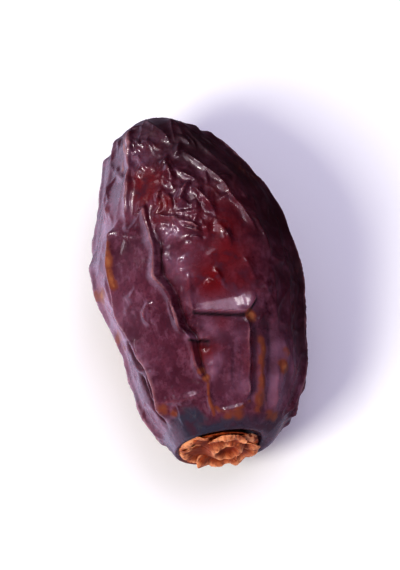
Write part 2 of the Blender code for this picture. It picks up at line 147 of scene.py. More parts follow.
# %% Folds of the upper side
# (height in mm, half width in mm, tan from 0 to 1, lean from -1 to 1, places along the crest)
# A fold with a height below zero is a groove.
UPPER_FOLDS = (
    # Edge of the long smooth plate on the -X side, and the groove beside it
    (0.86, 0.50, 0.2, 0.6, (
        (0.67, -27), (0.62, -26), (0.588, -26), (0.525, -25), (0.48, -27.5), (0.448, -29.5), (0.415, -27),
        (0.388, -24.5), (0.353, -24), (0.303, -23.5), (0.258, -18.5), (0.225, -17.5), (0.193, -16.5),
        (0.165, -13.5), (0.14, -10.5))),
    (-0.60, 0.26, 0.0, 0.0, (
        (0.56, -21.5), (0.52, -21), (0.48, -23.5), (0.448, -25.5), (0.415, -23), (0.388, -20.5),
        (0.353, -20), (0.303, -19.5), (0.262, -14.5), (0.225, -13.5), (0.19, -12.5), (0.155, -9.5))),
    # Beaded fold in the middle
    (0.66, 0.55, 0.1, 0.2, (
        (0.445, -10.5), (0.42, -11), (0.39, -12), (0.363, -13), (0.333, -12.5), (0.31, -15.5),
        (0.303, -19.5))),
    # Hollow under the short bar
    (-0.45, 0.60, 0.0, 0.0, ((0.240, -16), (0.233, -10), (0.228, -3))),
    # Soft lumps of the lower plate
    (0.30, 0.9, 0.0, 0.0, ((0.285, -4), (0.27, -2), (0.262, 2))),
    (0.32, 0.8, 0.0, 0.0, ((0.205, -7), (0.195, -4.5), (0.17, -4), (0.145, -3))),
    (0.26, 0.5, 0.0, 0.0, ((0.235, 5), (0.20, 6), (0.16, 5), (0.12, 6))),
    (0.24, 0.45, 0.0, 0.0, ((0.235, 11), (0.19, 13), (0.14, 12), (0.10, 12))),
    # Straight edge on the +X side of the lower plate, its groove and the folds beyond it
    (0.80, 0.46, 0.1, 0.4, (
        (0.305, 17.5), (0.285, 19), (0.215, 19.5), (0.145, 19.5), (0.103, 19.5), (0.08, 17))),
    (-0.32, 0.50, 0.0, 0.0, (
        (0.29, 23.5), (0.25, 24.3), (0.20, 24.5), (0.15, 24.5), (0.10, 24.7), (0.07, 24))),
    (0.24, 1.0, 0.66, 0.0, ((0.235, 29.5), (0.21, 30.5), (0.148, 30.5), (0.09, 31.5), (0.06, 31))),
    (-0.38, 0.8, 0.0, 0.0, ((0.30, 38), (0.22, 38.5), (0.15, 38.5), (0.09, 38.5), (0.05, 36))),
    (0.35, 0.9, 0.2, 0.0, ((0.26, 50), (0.22, 53.5), (0.17, 52), (0.12, 52), (0.06, 48))),
    # Lower edges of the plates, round the smooth collar above the calyx
    (0.75, 0.55, 0.5, 0.35, ((0.078, -8), (0.066, -4), (0.062, 6), (0.067, 15), (0.078, 22))),
    (0.55, 0.40, 0.6, 0.0, ((0.14, -10.5), (0.118, -11.5), (0.09, -11.5), (0.06, -11))),
    (0.80, 0.6, 0.2, 0.25, (
        (0.108, -14), (0.112, -24), (0.117, -33), (0.118, -40), (0.122, -50), (0.128, -58))),
    (0.30, 0.4, 0.0, 0.0, ((0.104, -44), (0.085, -41), (0.07, -42))),
    (0.28, 0.4, 0.0, 0.0, ((0.098, -30), (0.08, -28), (0.062, -31))),
    (0.26, 0.4, 0.0, 0.0, ((0.075, -22), (0.06, -17), (0.05, -18))),
    (0.24, 0.4, 0.0, 0.0, ((0.048, -4), (0.040, 4), (0.043, 11))),
    (0.24, 0.4, 0.0, 0.0, ((0.055, 24), (0.042, 27), (0.035, 24))),
    (0.50, 0.5, 0.1, 0.0, ((0.135, -45), (0.148, -40), (0.160, -35))),
    # Long fold low on the -X side, with its groove
    (1.10, 0.80, 0.1, -0.3, (
        (0.64, -53), (0.58, -59), (0.54, -62), (0.50, -63), (0.46, -65), (0.43, -68), (0.40, -70),
        (0.36, -69), (0.32, -66), (0.28, -62.5), (0.24, -58.5), (0.20, -55.5), (0.16, -56), (0.12, -58),
        (0.085, -60))),
    (0.16, 0.95, 0.85, 0.0, ((0.59, -58), (0.56, -59), (0.53, -60), (0.50, -60.5), (0.478, -60.5))),
    (-0.90, 0.55, 0.0, 0.0, (
        (0.42, -76), (0.36, -75), (0.32, -71), (0.28, -67.5), (0.24, -63.5), (0.20, -61), (0.16, -62))),
    (-0.75, 0.45, 0.0, 0.0, ((0.25, -74), (0.19, -71), (0.13, -69), (0.08, -67))),
    # Folds near the tip
    (0.78, 0.62, 0.1, 0.5, (
        (0.95, -36), (0.91, -36), (0.86, -35.5), (0.81, -36), (0.76, -37), (0.71, -38.5), (0.67, -40),
        (0.63, -42))),
    (0.30, 0.5, 0.65, 0.0, ((0.94, -46), (0.90, -44), (0.86, -43.5), (0.81, -45))),
    (0.45, 0.5, 0.0, 0.0, ((0.86, -32), (0.83, -29), (0.80, -24), (0.78, -20))),
    (0.55, 0.5, 0.1, 0.0, ((0.925, -50), (0.945, -40), (0.95, -28), (0.945, -20))),
    (0.46, 0.38, 0.1, 0.3, (
        (0.83, 8), (0.80, 12), (0.77, 16.5), (0.728, 22.5), (0.663, 27), (0.61, 32), (0.54, 36))),
    (0.36, 0.6, 0.1, 0.0, ((0.96, 38), (0.90, 31), (0.83, 30), (0.77, 35), (0.70, 42))),
    (0.42, 0.5, 0.0, 0.2, ((0.60, 38), (0.56, 39.5), (0.525, 40.5), (0.463, 42.5))),
    (0.55, 0.7, 0.1, 0.0, ((0.95, 58), (0.88, 51), (0.80, 52), (0.73, 57))),
    (0.58, 0.7, 0.2, 0.0, ((0.96, -75), (0.90, -68), (0.84, -66), (0.78, -65), (0.72, -67))),
    (0.50, 0.5, 0.1, 0.0, ((0.97, -10), (0.93, -4), (0.90, 2), (0.86, 3))),
    (0.45, 0.45, 0.0, 0.0, ((0.90, -22), (0.87, -16), (0.84, -14))),
    (0.42, 0.5, 0.0, 0.0, ((0.86, 12), (0.82, 3), (0.80, -2))),
    # Crumpled patch on top, below the tip
    (0.78, 0.38, 0.1, 0.2, ((0.690, -10.5), (0.690, -14), (0.680, -16.7), (0.660, -17.3), (0.640, -17))),
    (0.74, 0.38, 0.1, 0.0, ((0.682, -13), (0.668, -11), (0.648, -9.7), (0.628, -11.5))),
    (0.80, 0.40, 0.1, 0.2, ((0.715, 5), (0.698, 2), (0.675, -2), (0.653, -3.7), (0.630, -1.5))),
    (0.85, 0.38, 0.2, -0.3, (
        (0.625, -22), (0.612, -18), (0.603, -14.5), (0.593, -10), (0.563, -6), (0.548, -1.5), (0.540, 4))),
    (0.76, 0.38, 0.2, -0.3, ((0.597, -8), (0.583, -5.5), (0.573, -3), (0.555, 1), (0.547, 5))),
    (0.66, 0.38, 0.0, -0.3, ((0.535, -5), (0.527, -1), (0.520, 2.5))),
    (0.70, 0.45, 0.1, 0.3, ((0.795, -8), (0.775, -6), (0.745, -5.5), (0.715, -6.5))),
    (0.72, 0.40, 0.1, 0.0, ((0.695, 4), (0.680, 5.5), (0.648, 8), (0.620, 10.5), (0.600, 12))),
    (0.70, 0.42, 0.2, 0.0, ((0.612, -1.5), (0.605, 1.5), (0.603, 5))),
    (0.62, 0.38, 0.1, 0.0, ((0.655, 3), (0.645, 6), (0.630, 7.5))),
    (0.55, 0.38, 0.0, 0.0, ((0.76, -1), (0.74, 3), (0.72, 8), (0.71, 12))),
    (0.55, 0.38, 0.0, 0.0, ((0.735, -12), (0.72, -8.5), (0.705, -7))),
    # Small wrinkles on the long plate
    (0.36, 0.36, 0.0, -0.2, ((0.445, -61), (0.425, -55), (0.430, -49), (0.445, -46))),
    (0.36, 0.36, 0.0, -0.2, ((0.410, -67), (0.402, -60), (0.408, -53))),
    (0.76, 0.32, 0.1, 0.0, (
        (0.370, -36.5), (0.381, -39), (0.383, -42), (0.368, -46), (0.345, -45.5), (0.333, -40.5))),
    (0.35, 0.5, 0.0, 0.0, ((0.63, -48), (0.61, -40), (0.605, -33.5), (0.628, -29))),
    # Lumps and small folds between the crumpled patch and the bar
    (0.75, 1.0, 0.0, 0.0, ((0.554, -16), (0.545, -14), (0.538, -12))),
    (0.58, 0.6, 0.1, 0.0, ((0.528, -22.5), (0.520, -20))),
    (0.66, 0.5, 0.0, 0.0, ((0.503, -20.5), (0.490, -20), (0.470, -19), (0.453, -18))),
    (0.62, 0.5, 0.0, 0.0, ((0.480, -9), (0.468, -12), (0.457, -15.5))),
    (0.55, 0.55, 0.0, 0.0, ((0.432, -19), (0.441, -14), (0.446, -9))),
    (0.45, 0.6, 0.0, 0.0, ((0.415, -17.5), (0.385, -16.5), (0.35, -17))),
    (0.50, 0.8, 0.0, 0.0, ((0.482, 0), (0.470, 1.5), (0.458, 2))),
    (0.66, 0.55, 0.0, 0.2, ((0.445, 2.5), (0.42, 4.5), (0.405, 5.7), (0.380, 8))),
    (0.62, 0.5, 0.0, 0.2, ((0.555, 13.5), (0.54, 14.5), (0.513, 14.5), (0.49, 15.5))),
    (0.48, 0.45, 0.0, -0.2, ((0.386, -5.5), (0.397, 0), (0.390, 5))),
    (0.40, 0.6, 0.0, 0.0, ((0.525, -8), (0.505, -5), (0.49, -5))),
    # Faint folds on the +X side
    (0.34, 0.7, 0.0, 0.0, ((0.45, 42), (0.38, 43), (0.33, 42), (0.27, 44))),
    (0.38, 0.8, 0.0, 0.0, ((0.72, 60), (0.62, 60), (0.50, 57), (0.40, 59), (0.30, 58), (0.24, 61))),
    (0.42, 0.7, 0.0, 0.0, ((0.60, 35), (0.575, 40), (0.57, 46))),
    (0.44, 0.7, 0.0, 0.0, ((0.355, 27), (0.37, 33), (0.385, 38), (0.38, 44))),
    (0.44, 0.7, 0.0, 0.0, ((0.30, 44), (0.285, 50), (0.30, 57))),
    (0.44, 0.7, 0.1, 0.0, ((0.475, 42), (0.46, 50), (0.48, 57))),
)
print(len(UPPER_FOLDS), "folds placed by hand")

# %% [markdown]
# The sides and the underside have the folds that every such date has: long ones from the collar to the
# tip, and short ones that link each to the next. A rule with a fixed seed draws them, so they are the
# same each time. The random numbers come in the same order as in the solid, so the folds lie on its own.

# %% Folds of the sides and the underside
LONG_FOLD_ANGLES = (76, 94, 113, 132, 151, 170, 190, 209, 228, 248, 267)
LONG_FOLD_HEIGHT = (0.75, 1.15)
LONG_FOLD_HALF_WIDTH = (0.95, 1.25)
LONG_FOLD_REACH = (0.07, 0.93)
LONG_FOLD_STEP = 0.055
LONG_FOLD_WANDER = 5.0
LONG_FOLD_PULL = 0.25
LINK_HEIGHT = (0.55, 0.95)
LINK_HALF_WIDTH = (0.85, 1.05)
LINK_SPACING = (0.09, 0.16)
LINK_LEAN = 0.035
LINK_BEND = 0.012
RIGHT_SIDE_END = 100
RIGHT_SIDE_TAN, LEFT_SIDE_TAN, DRIEST_TAN = 0.1, 0.2, 0.7
DRIEST_EVERY = 3
FOLD_SEED = 23
FINER = 0.68


def side_folds():
    rng = random.Random(FOLD_SEED)
    first, last = LONG_FOLD_REACH
    steps = round((last - first) / LONG_FOLD_STEP)
    stations = [first + (last - first) * k / steps for k in range(steps + 1)]
    long_folds, links = [], []
    for start in LONG_FOLD_ANGLES:
        angle = start
        places = []
        for station in stations:
            places.append((station, angle))
            angle += rng.uniform(-1, 1) * LONG_FOLD_WANDER + LONG_FOLD_PULL * (start - angle)
        long_folds.append((rng.uniform(*LONG_FOLD_HEIGHT), rng.uniform(*LONG_FOLD_HALF_WIDTH), places))
    for (_, _, left), (_, _, right) in zip(long_folds, long_folds[1:]):
        station = first + rng.uniform(0.3, 1) * LINK_SPACING[0]
        while station < last - LINK_SPACING[0]:
            lean = rng.uniform(-LINK_LEAN, LINK_LEAN)
            ends = [(at, float(np.interp(at, stations, [angle for _, angle in fold])))
                    for at, fold in ((station, left), (station + lean, right))]
            (a, from_angle), (b, to_angle) = ends
            bend = ((a + b) / 2 + rng.uniform(-LINK_BEND, LINK_BEND), (from_angle + to_angle) / 2)
            places = [ends[0], bend, ends[1]]
            links.append((rng.uniform(*LINK_HEIGHT), rng.uniform(*LINK_HALF_WIDTH), places))
            station += rng.uniform(*LINK_SPACING)
    folds = []
    for k, (height, half_width, places) in enumerate(long_folds + links):
        left_tan = LEFT_SIDE_TAN if k % DRIEST_EVERY else DRIEST_TAN
        dryness = RIGHT_SIDE_TAN if places[0][1] < RIGHT_SIDE_END else left_tan
        folds.append((height, half_width * FINER, dryness, 0.0, places))
    return folds


lower_folds = side_folds()
print(len(lower_folds), "folds drawn by the rule")

# %% [markdown]
# A fold's cross section is a rounded crest with hollow flanks, as in pinched cloth. For each point of the
# skin we look for the nearest place on the crest. Only points within a few half widths can feel the fold,
# so the others are skipped, which makes this fast enough for a hundred thousand points. A real crest is
# never even: noise along it makes beads, and a shake of the points makes it wriggle a little.

# %% Height of one fold
CREST_ROUND = 0.34
FOLD_FADE = 1.5 * MM
FOLD_END_HEIGHT = 0.25
FOLD_FEEL = 7
BEAD_LENGTH = 3.0 * MM
BEAD_STEP = BEAD_LENGTH / 5
BEAD_HEIGHT = 0.30
BEADS_APART = 31
ALL_FINER = 0.80
TINY = 1e-6


def smooth_step(x):
    x = np.clip(x, 0, 1)
    return x * x * (3 - 2 * x)


def fold_shape(points, half_width, lean, places):
    """Share of its height that a fold gives each point, and the distance across it in half widths."""
    stations, degrees = curve_through(places, 6).T
    crest = skin_point(stations, degrees)
    turn = np.radians(degrees)
    outward = np.column_stack([np.sin(turn), np.zeros(len(crest)), np.cos(turn)])
    starts, spans = crest[:-1], np.diff(crest, axis=0)
    lengths = np.linalg.norm(spans, axis=1)
    sideways = np.cross(spans, outward[:-1]) / lengths[:, None]
    run = np.concatenate([[0], np.cumsum(lengths)])
    reach = FOLD_FEEL * half_width * MM
    near = np.flatnonzero(np.all((points > crest.min(0) - reach) & (points < crest.max(0) + reach), axis=1))
    close = points[near]
    nearest = np.full(len(close), np.inf)
    place, side = np.zeros((2, len(close)))
    for start, span, length, aside, before in zip(starts, spans, lengths, sideways, run):
        share = np.clip((close - start) @ span / length**2, 0, 1)
        offset = close - start - share[:, None] * span
        distance = np.linalg.norm(offset, axis=1)
        closer = distance < nearest
        nearest[closer] = distance[closer]
        place[closer] = before + share[closer] * length
        side[closer] = (offset[closer] @ aside) / np.maximum(distance[closer], TINY)
    ends = smooth_step(np.minimum(place, run[-1] - place) / FOLD_FADE)
    across = nearest / (ALL_FINER * half_width * MM * (1 + lean * side))
    shape = np.exp(CREST_ROUND - np.sqrt(across**2 + CREST_ROUND**2))
    steps = np.arange(0, run[-1] + BEAD_LENGTH, BEAD_STEP)
    own = (BEADS_APART * places[0][0], places[0][1])
    beads = [noise.noise(Vector((step / BEAD_LENGTH, *own))) for step in steps]
    shape = shape * (1 + BEAD_HEIGHT * np.interp(place, steps, beads))
    return near, shape * (FOLD_END_HEIGHT + (1 - FOLD_END_HEIGHT) * ends), across


print("a fold is felt out to", FOLD_FEEL, "half widths")

# %% [markdown]
# Two folds are ledges: the skin above slid over the skin below. A ledge has a flat face, which mirrors the
# light as a pale bar, and ends in a sharp lip. So it gets a section of its own, straight up and steep down.

# %% Ledges
# (station of the lip, degrees, height in mm, depth of the face in mm)
LEDGES = (
    ((0.334, -14, 0.0, 0.8), (0.328, -9, 0.42, 1.0), (0.322, -3, 0.48, 1.4), (0.315, 3.5, 0.54, 1.8),
     (0.311, 11, 0.62, 2.1), (0.310, 17, 0.72, 2.3), (0.317, 20, 0.74, 2.2), (0.340, 24.5, 0.50, 1.4),
     (0.355, 27, 0.0, 0.8)),
    ((0.266, -21, 0.0, 0.5), (0.261, -16, 0.18, 0.5), (0.255, -9, 0.22, 0.6), (0.250, -4, 0.0, 0.5)),
)
LIP = 0.20 * MM
# In lip widths from the lip: where the lip's pale mark, partly a painted highlight, and the painted shadow
# at the foot of the drop lie
LIP_MARK_AT, FOOT_SHADE_AT = 0.5, -1.7
MARK_FULL = 0.15
LEDGE_ZONE = (0.325, 7)
LEDGE_ZONE_RADIUS = 9 * MM


def ledge_height(points):
    """Height of the ledges at each point, and how near the point is to a lip, which gets a pale mark that is
    partly a painted highlight, and to the foot of its drop, which gets a painted shadow.
    """
    height, lip_mark, foot = np.zeros((3, len(points)))
    for ledge in LEDGES:
        stations, degrees, heights, faces = curve_through(ledge, 8).T
        lip = skin_point(stations, degrees)
        along = points[:, 1] - np.interp(points[:, 0], lip[:, 0], lip[:, 1])
        ramp = np.clip(1 - along / (np.interp(points[:, 0], lip[:, 0], faces) * MM), 0, 1)
        here = np.clip(np.interp(points[:, 0], lip[:, 0], heights, left=0, right=0), 0, None)
        height = np.maximum(height, here * np.where(along > 0, ramp, np.exp(-(along / LIP) ** 2)))
        clear = smooth_step(here / MARK_FULL)
        lip_mark = np.maximum(lip_mark, clear * np.exp(-(along / LIP - LIP_MARK_AT) ** 2))
        foot = np.maximum(foot, clear * np.exp(-(along / LIP - FOOT_SHADE_AT) ** 2))
    return [values * (points[:, 2] > 0) for values in (height, lip_mark, foot)]


print("the ledge is", max(place[2] for place in LEDGES[0]), "mm high at most")

# %% [markdown]
# ## The fine skin
# We start from a ball of quads with many more faces than the solid has, and move its points: first to the
# plain fruit, then out along their normals by the height of the folds. A ball of this size takes Blender's
# own UV sphere half a minute, so we list its faces with numpy, ring by ring, which takes a moment.
# The points lie closer together on top, where the finest folds are.

# %% Ball and helpers
SKIN_SEGMENTS, SKIN_RINGS = 360, 270
CLOSER_ON_TOP = 0.32


def new_object(name, data):
    thing = bpy.data.objects.new(name, data)
    bpy.context.scene.collection.objects.link(thing)
    return thing


def ball_object(name, segments, rings):
    """A closed ball as a new object, with each point's share of the way from pole to pole and its angle."""
    turns = np.arange(segments) / segments * math.tau - math.pi
    share = np.concatenate([[0], np.repeat(np.arange(1, rings) / rings, segments), [1]])
    angle = np.concatenate([[0], np.tile(turns, rings - 1), [0]])
    here, beside = np.arange(segments) + 1, np.roll(np.arange(segments), -1) + 1
    last = (rings - 1) * segments + 1
    faces = [(0, a, b) for a, b in zip(here, beside)]
    for row in range(0, (rings - 2) * segments, segments):
        faces += zip(here + row, here + row + segments, beside + row + segments, beside + row)
    faces += [(last, b, a) for a, b in zip(here + last - segments - 1, beside + last - segments - 1)]
    mesh = bpy.data.meshes.new(name)
    mesh.from_pydata([(0, 0, 0)] * len(share), [], [tuple(map(int, face)) for face in faces])
    return new_object(name, mesh), share, angle


def set_points(mesh, points):
    mesh.vertices.foreach_set("co", np.asarray(points, np.float32).ravel())
    mesh.update()


def read_vectors(items, key):
    flat = np.empty(len(items) * 3, np.float32)
    items.foreach_get(key, flat)
    return flat.reshape(-1, 3)


def keep_values(mesh, values):
    """Keeps numbers on the points, where node trees and materials can read them by name."""
    for name, numbers in values.items():
        kept = mesh.attributes.new(name, "FLOAT", "POINT").data
        kept.foreach_set("value", np.asarray(numbers, np.float32))


def mesh_from(bm, name):
    mesh = bpy.data.meshes.new(name)
    bm.to_mesh(mesh)
    bm.free()
    return mesh


def face_outwards(mesh):
    bm = bmesh.new()
    bm.from_mesh(mesh)
    bmesh.ops.recalc_face_normals(bm, faces=bm.faces)
    bm.to_mesh(mesh)
    bm.free()
    mesh.shade_smooth()


skin, share, angle = ball_object("date_skin", SKIN_SEGMENTS, SKIN_RINGS)
angle = angle - CLOSER_ON_TOP * np.sin(angle)
even = np.linspace(0, 1, len(section))
line = np.column_stack([np.interp(share, even, section[:, k]) for k in range(3)])
plain = plain_skin(line, angle)
set_points(skin.data, plain)
face_outwards(skin.data)
station = np.clip(line[:, 0] / LENGTH, 0, 1)
degrees = np.degrees(angle)
print(len(plain), "points of skin")

# %% [markdown]
# Between the folds lie many short wrinkles. A rule strews them, mostly lengthwise, but keeps them off the
# plates, where the skin is tight and smooth. Those places are soft spots, each with a middle and a radius.

# %% Short wrinkles
# (station, degrees, radius in mm, amount)
LONG_PLATE = ((0.55, -42, 4.2, 1.0), (0.44, -44, 4.2, 1.0), (0.33, -42, 4.2, 1.0), (0.24, -38, 3.6, 1.0))
LOWER_PLATE = ((0.24, 6, 3.4, 1.0), (0.16, 6, 3.4, 1.0), (0.10, 4, 2.6, 1.0))
LEDGE_FACE = ((0.336, -4, 1.4, 1.0), (0.335, 4, 1.9, 1.0), (0.335, 12, 2.1, 1.0), (0.342, 19, 2.0, 1.0))
SMOOTH_RED = ((0.725, -26, 2.4, 1.0), (0.60, 25, 2.6, 0.8), (0.48, 26, 2.8, 0.8))
SMOOTH_PLATES = (*LONG_PLATE, *LOWER_PLATE, *LEDGE_FACE, *SMOOTH_RED)
# (how many, least angle from the top, lengths in mm, spread of their directions in degrees)
WRINKLES = ((210, 0, (1.8, 4.6), 34), (170, 62, (3.0, 8.0), 20))
WRINKLE_HEIGHT = (0.20, 0.46)
WRINKLE_HALF_WIDTH = (0.36, 0.55)
WRINKLE_REACH = (0.10, 0.95)
WRINKLE_BEND = 0.25
WRINKLE_PLACES = (0, 0.33, 0.67, 1)
PLATE_EDGE = 0.3
RADIAN = 57.3
WRINKLE_SEED = 11


def spots(points, places):
    """The strongest of several round soft spots, at each of the points."""
    total = np.zeros(len(points))
    for at, turn, radius, amount in places:
        total = np.maximum(total, amount * np.exp(-(distance_to(points, at, turn) / (radius * MM)) ** 2))
    return total


def short_wrinkles():
    rng = random.Random(WRINKLE_SEED)
    wrinkles = []
    for count, least_turn, lengths, spread in WRINKLES:
        full = len(wrinkles) + count
        while len(wrinkles) < full:
            at, turn = rng.uniform(*WRINKLE_REACH), rng.uniform(-180, 180)
            length, slant = rng.uniform(*lengths) * MM, math.radians(rng.gauss(0, spread))
            height, half_width = rng.uniform(*WRINKLE_HEIGHT), rng.uniform(*WRINKLE_HALF_WIDTH)
            bend = rng.uniform(-WRINKLE_BEND, WRINKLE_BEND)
            if abs(turn) < least_turn or spots(skin_point([at], [turn]), SMOOTH_PLATES)[0] > PLATE_EDGE:
                continue
            radius = np.interp(at * LENGTH, outer[:, 0], outer[:, 1])
            along = length * math.cos(slant) / LENGTH
            around = math.degrees(length * math.sin(slant) / radius)
            places = [(at + (t - 0.5) * along + bend * around * t * (1 - t) * radius / LENGTH / RADIAN,
                       turn + (t - 0.5) * around
                       + bend * math.degrees(along * LENGTH / radius) * t * (1 - t))
                      for t in WRINKLE_PLACES]
            wrinkles.append((height, half_width, 0.0, 0.0, places))
    return wrinkles


wrinkles = short_wrinkles()
print(len(wrinkles), "short wrinkles")

# %% [markdown]
# Now every fold lifts the points near it. Where two meet, their heights are added as cubes, so that the
# higher one wins and they still join softly. A slow swell makes the whole fruit a little uneven. We also
# note how near each point is to a crest or a groove, because the colours follow them: the crests get a
# pale colour that is partly a painted highlight, and the grooves a painted shade.

# %% Raise the folds
SWELL_HEIGHT = 0.50 * MM
SWELL_LENGTH = 8.5 * MM
REST_PLACE = (0.5, 180)
REST_CLEAR = 4.4 * MM
HOLLOW_SHARE = 0.5
TAN_REACH = 0.75
TAN_EVEN_FROM = 0.2
PATCHY_MIDDLE, PATCHY_SWELL = 0.45, 1.6
SKIRT_HEIGHT = 0.55
SKIRT_WIDTH = 2.4
SHAKE = 0.30 * MM
SHAKE_LENGTH = 2.4 * MM
SHAKE_SEED = 3
FULL_MARK = 0.7
# Strength of the lips' pale mark, partly a painted highlight, and of the painted shadow at the foot of each
# ledge's drop
LIP_MARK, FOOT_SHADE = 1.1, 1.2

# Without a seed of our own, noise vectors are shifted by the clock, and each run gives another date
noise.seed_set(SHAKE_SEED)
shaken = plain + SHAKE * np.array([noise.noise_vector(Vector(p) / SHAKE_LENGTH) for p in plain])
crests, grooves, tan, groove_shade_mark, crest_mark = np.zeros((5, len(plain)))
swell = np.array([noise.noise(Vector(p) / SWELL_LENGTH) for p in plain])
on_top = plain[:, 2] > TAN_EVEN_FROM * outer[:, 1].max()
uneven = np.where(on_top, 1, smooth_step(PATCHY_MIDDLE + PATCHY_SWELL * swell))
for height, half_width, dryness, lean, places in (*UPPER_FOLDS, *lower_folds, *wrinkles):
    near, shape, across = fold_shape(shaken, half_width, lean, places)
    (crests if height > 0 else grooves)[near] += (abs(height) * shape) ** 3
    # Near a crest the skin gets a pale colour, partly a painted highlight; near a groove, a painted shade
    mark = crest_mark if height > 0 else groove_shade_mark
    mark[near] = np.maximum(mark[near], shape * min(1, (height / FULL_MARK) ** 2))
    tan[near] = np.maximum(tan[near], uneven[near] * dryness * np.exp(-(across / TAN_REACH) ** 2))
for height, half_width, _, lean, places in lower_folds[:len(LONG_FOLD_ANGLES)]:
    near, shape, _ = fold_shape(shaken, SKIRT_WIDTH * half_width, lean, places)
    crests[near] += (SKIRT_HEIGHT * height * shape) ** 3
relief = MM * (np.cbrt(crests) - np.cbrt(grooves)) + SWELL_HEIGHT * swell
zone = distance_to(plain, *LEDGE_ZONE) < LEDGE_ZONE_RADIUS
ledges, lips, foot_shade = ledge_height(plain[zone])
relief[zone] += MM * ledges
# The lips join the pale crests, partly a painted highlight, and the feet of the drops get a painted shadow
crest_mark[zone] = np.maximum(crest_mark[zone], LIP_MARK * lips)
groove_shade_mark[zone] = np.maximum(groove_shade_mark[zone], FOOT_SHADE * foot_shade)
away_from_rest = smooth_step(distance_to(plain, *REST_PLACE) / REST_CLEAR - 1)
out_of_hollow = np.clip((share - even[rim]) / (HOLLOW_SHARE * even[rim]), 0, 1)
free = away_from_rest * out_of_hollow
relief *= free
normals = read_vectors(skin.data.vertex_normals, "vector").astype(float)
folded = in_row_frame(plain + normals * relief[:, None])
folded[:, 2] = np.maximum(folded[:, 2], 0)
set_points(skin.data, folded)
print("relief from", round(relief.min() / MM, 2), "to", round(relief.max() / MM, 2), "mm")

# %% [markdown]
# Between the folds the plates aren't all alike. Some are smooth and tight, the patch below the tip is
# crumpled, and on the sides a fine net of creases shows. These amounts are soft spots, each with a place
# and a radius. The same goes for the ruby spots, where the skin is thin and the light gets into the flesh.

# %% Where the skin is crumpled, netted or thin
# (station, degrees, radius in mm, amount)
CRUMPLED_SPOTS = (
    (0.66, -8, 3.6, 1.0), (0.60, -4, 3.0, 1.0), (0.56, 2, 2.4, 0.8), (0.76, -8, 3.0, 0.7),
    (0.66, 6, 2.6, 0.8), (0.90, -20, 3.4, 0.5), (0.94, -60, 3.0, 0.5), (0.47, -16, 2.4, 0.35),
    (0.075, -35, 2.4, 0.6), (0.055, -12, 2.0, 0.5), (0.05, 12, 2.0, 0.45), (0.06, 40, 2.4, 0.5),
)
RUBY_SPOTS = (
    (0.735, -24, 2.8, 1.0), (0.70, -25, 2.4, 1.0), (0.56, 14, 3.6, 0.8), (0.47, 12, 3.6, 0.9),
    (0.41, 2, 3.2, 1.0), (0.40, 16, 2.6, 0.7), (0.62, 20, 3.4, 0.55), (0.225, -9, 1.6, 0.9),
    (0.65, -13.5, 1.3, 1.0), (0.62, -20, 1.6, 0.6), (0.50, -2, 2.6, 0.45), (0.290, 2, 1.3, 0.5),
    (0.22, 23, 1.1, 0.5), (0.16, 24, 1.1, 0.5), (0.55, 110, 4, 0.7), (0.35, 140, 3.5, 0.6),
    (0.7, 230, 4, 0.7), (0.4, 250, 4, 0.6), (0.75, 95, 3, 0.6),
)
TAN_SPOTS = (
    (0.300, 22, 0.8, 1.0), (0.303, 20.5, 0.5, 0.8), (0.052, 2, 0.8, 0.45), (0.052, 11, 0.9, 0.55),
    (0.053, 48, 0.8, 0.6), (0.053, 58, 0.8, 0.6), (0.115, -54, 0.8, 0.6), (0.098, -48, 0.7, 0.6),
    (0.50, -84, 1.3, 0.8), (0.38, -88, 1.3, 0.5), (0.35, -86, 1.0, 0.5), (0.175, 52, 1.0, 0.75),
    (0.215, 53.5, 0.7, 0.7), (0.172, -13.8, 0.5, 0.9), (0.152, -11.5, 0.5, 0.9), (0.045, 150, 2.5, 0.7),
    (0.05, -130, 2.5, 0.7), (0.05, 95, 1.8, 0.5), (0.24, 30, 0.6, 0.5),
)
# Painted shade: the far +X flank and the tip are darkened as if in shade, and so is the hollow under the
# short bar
SHADE_SPOTS = (
    (0.75, 52, 6.5, 1.0), (0.62, 64, 6.5, 1.0), (0.86, 30, 5.5, 1.0), (0.94, 0, 4.0, 0.8),
    (0.48, 76, 6.0, 0.9), (0.33, 84, 6.0, 0.7), (0.55, 42, 4.0, 0.6), (0.68, 28, 4.0, 0.5),
    (0.232, -10, 1.3, 0.5), (0.98, -60, 3.0, 0.6),
)
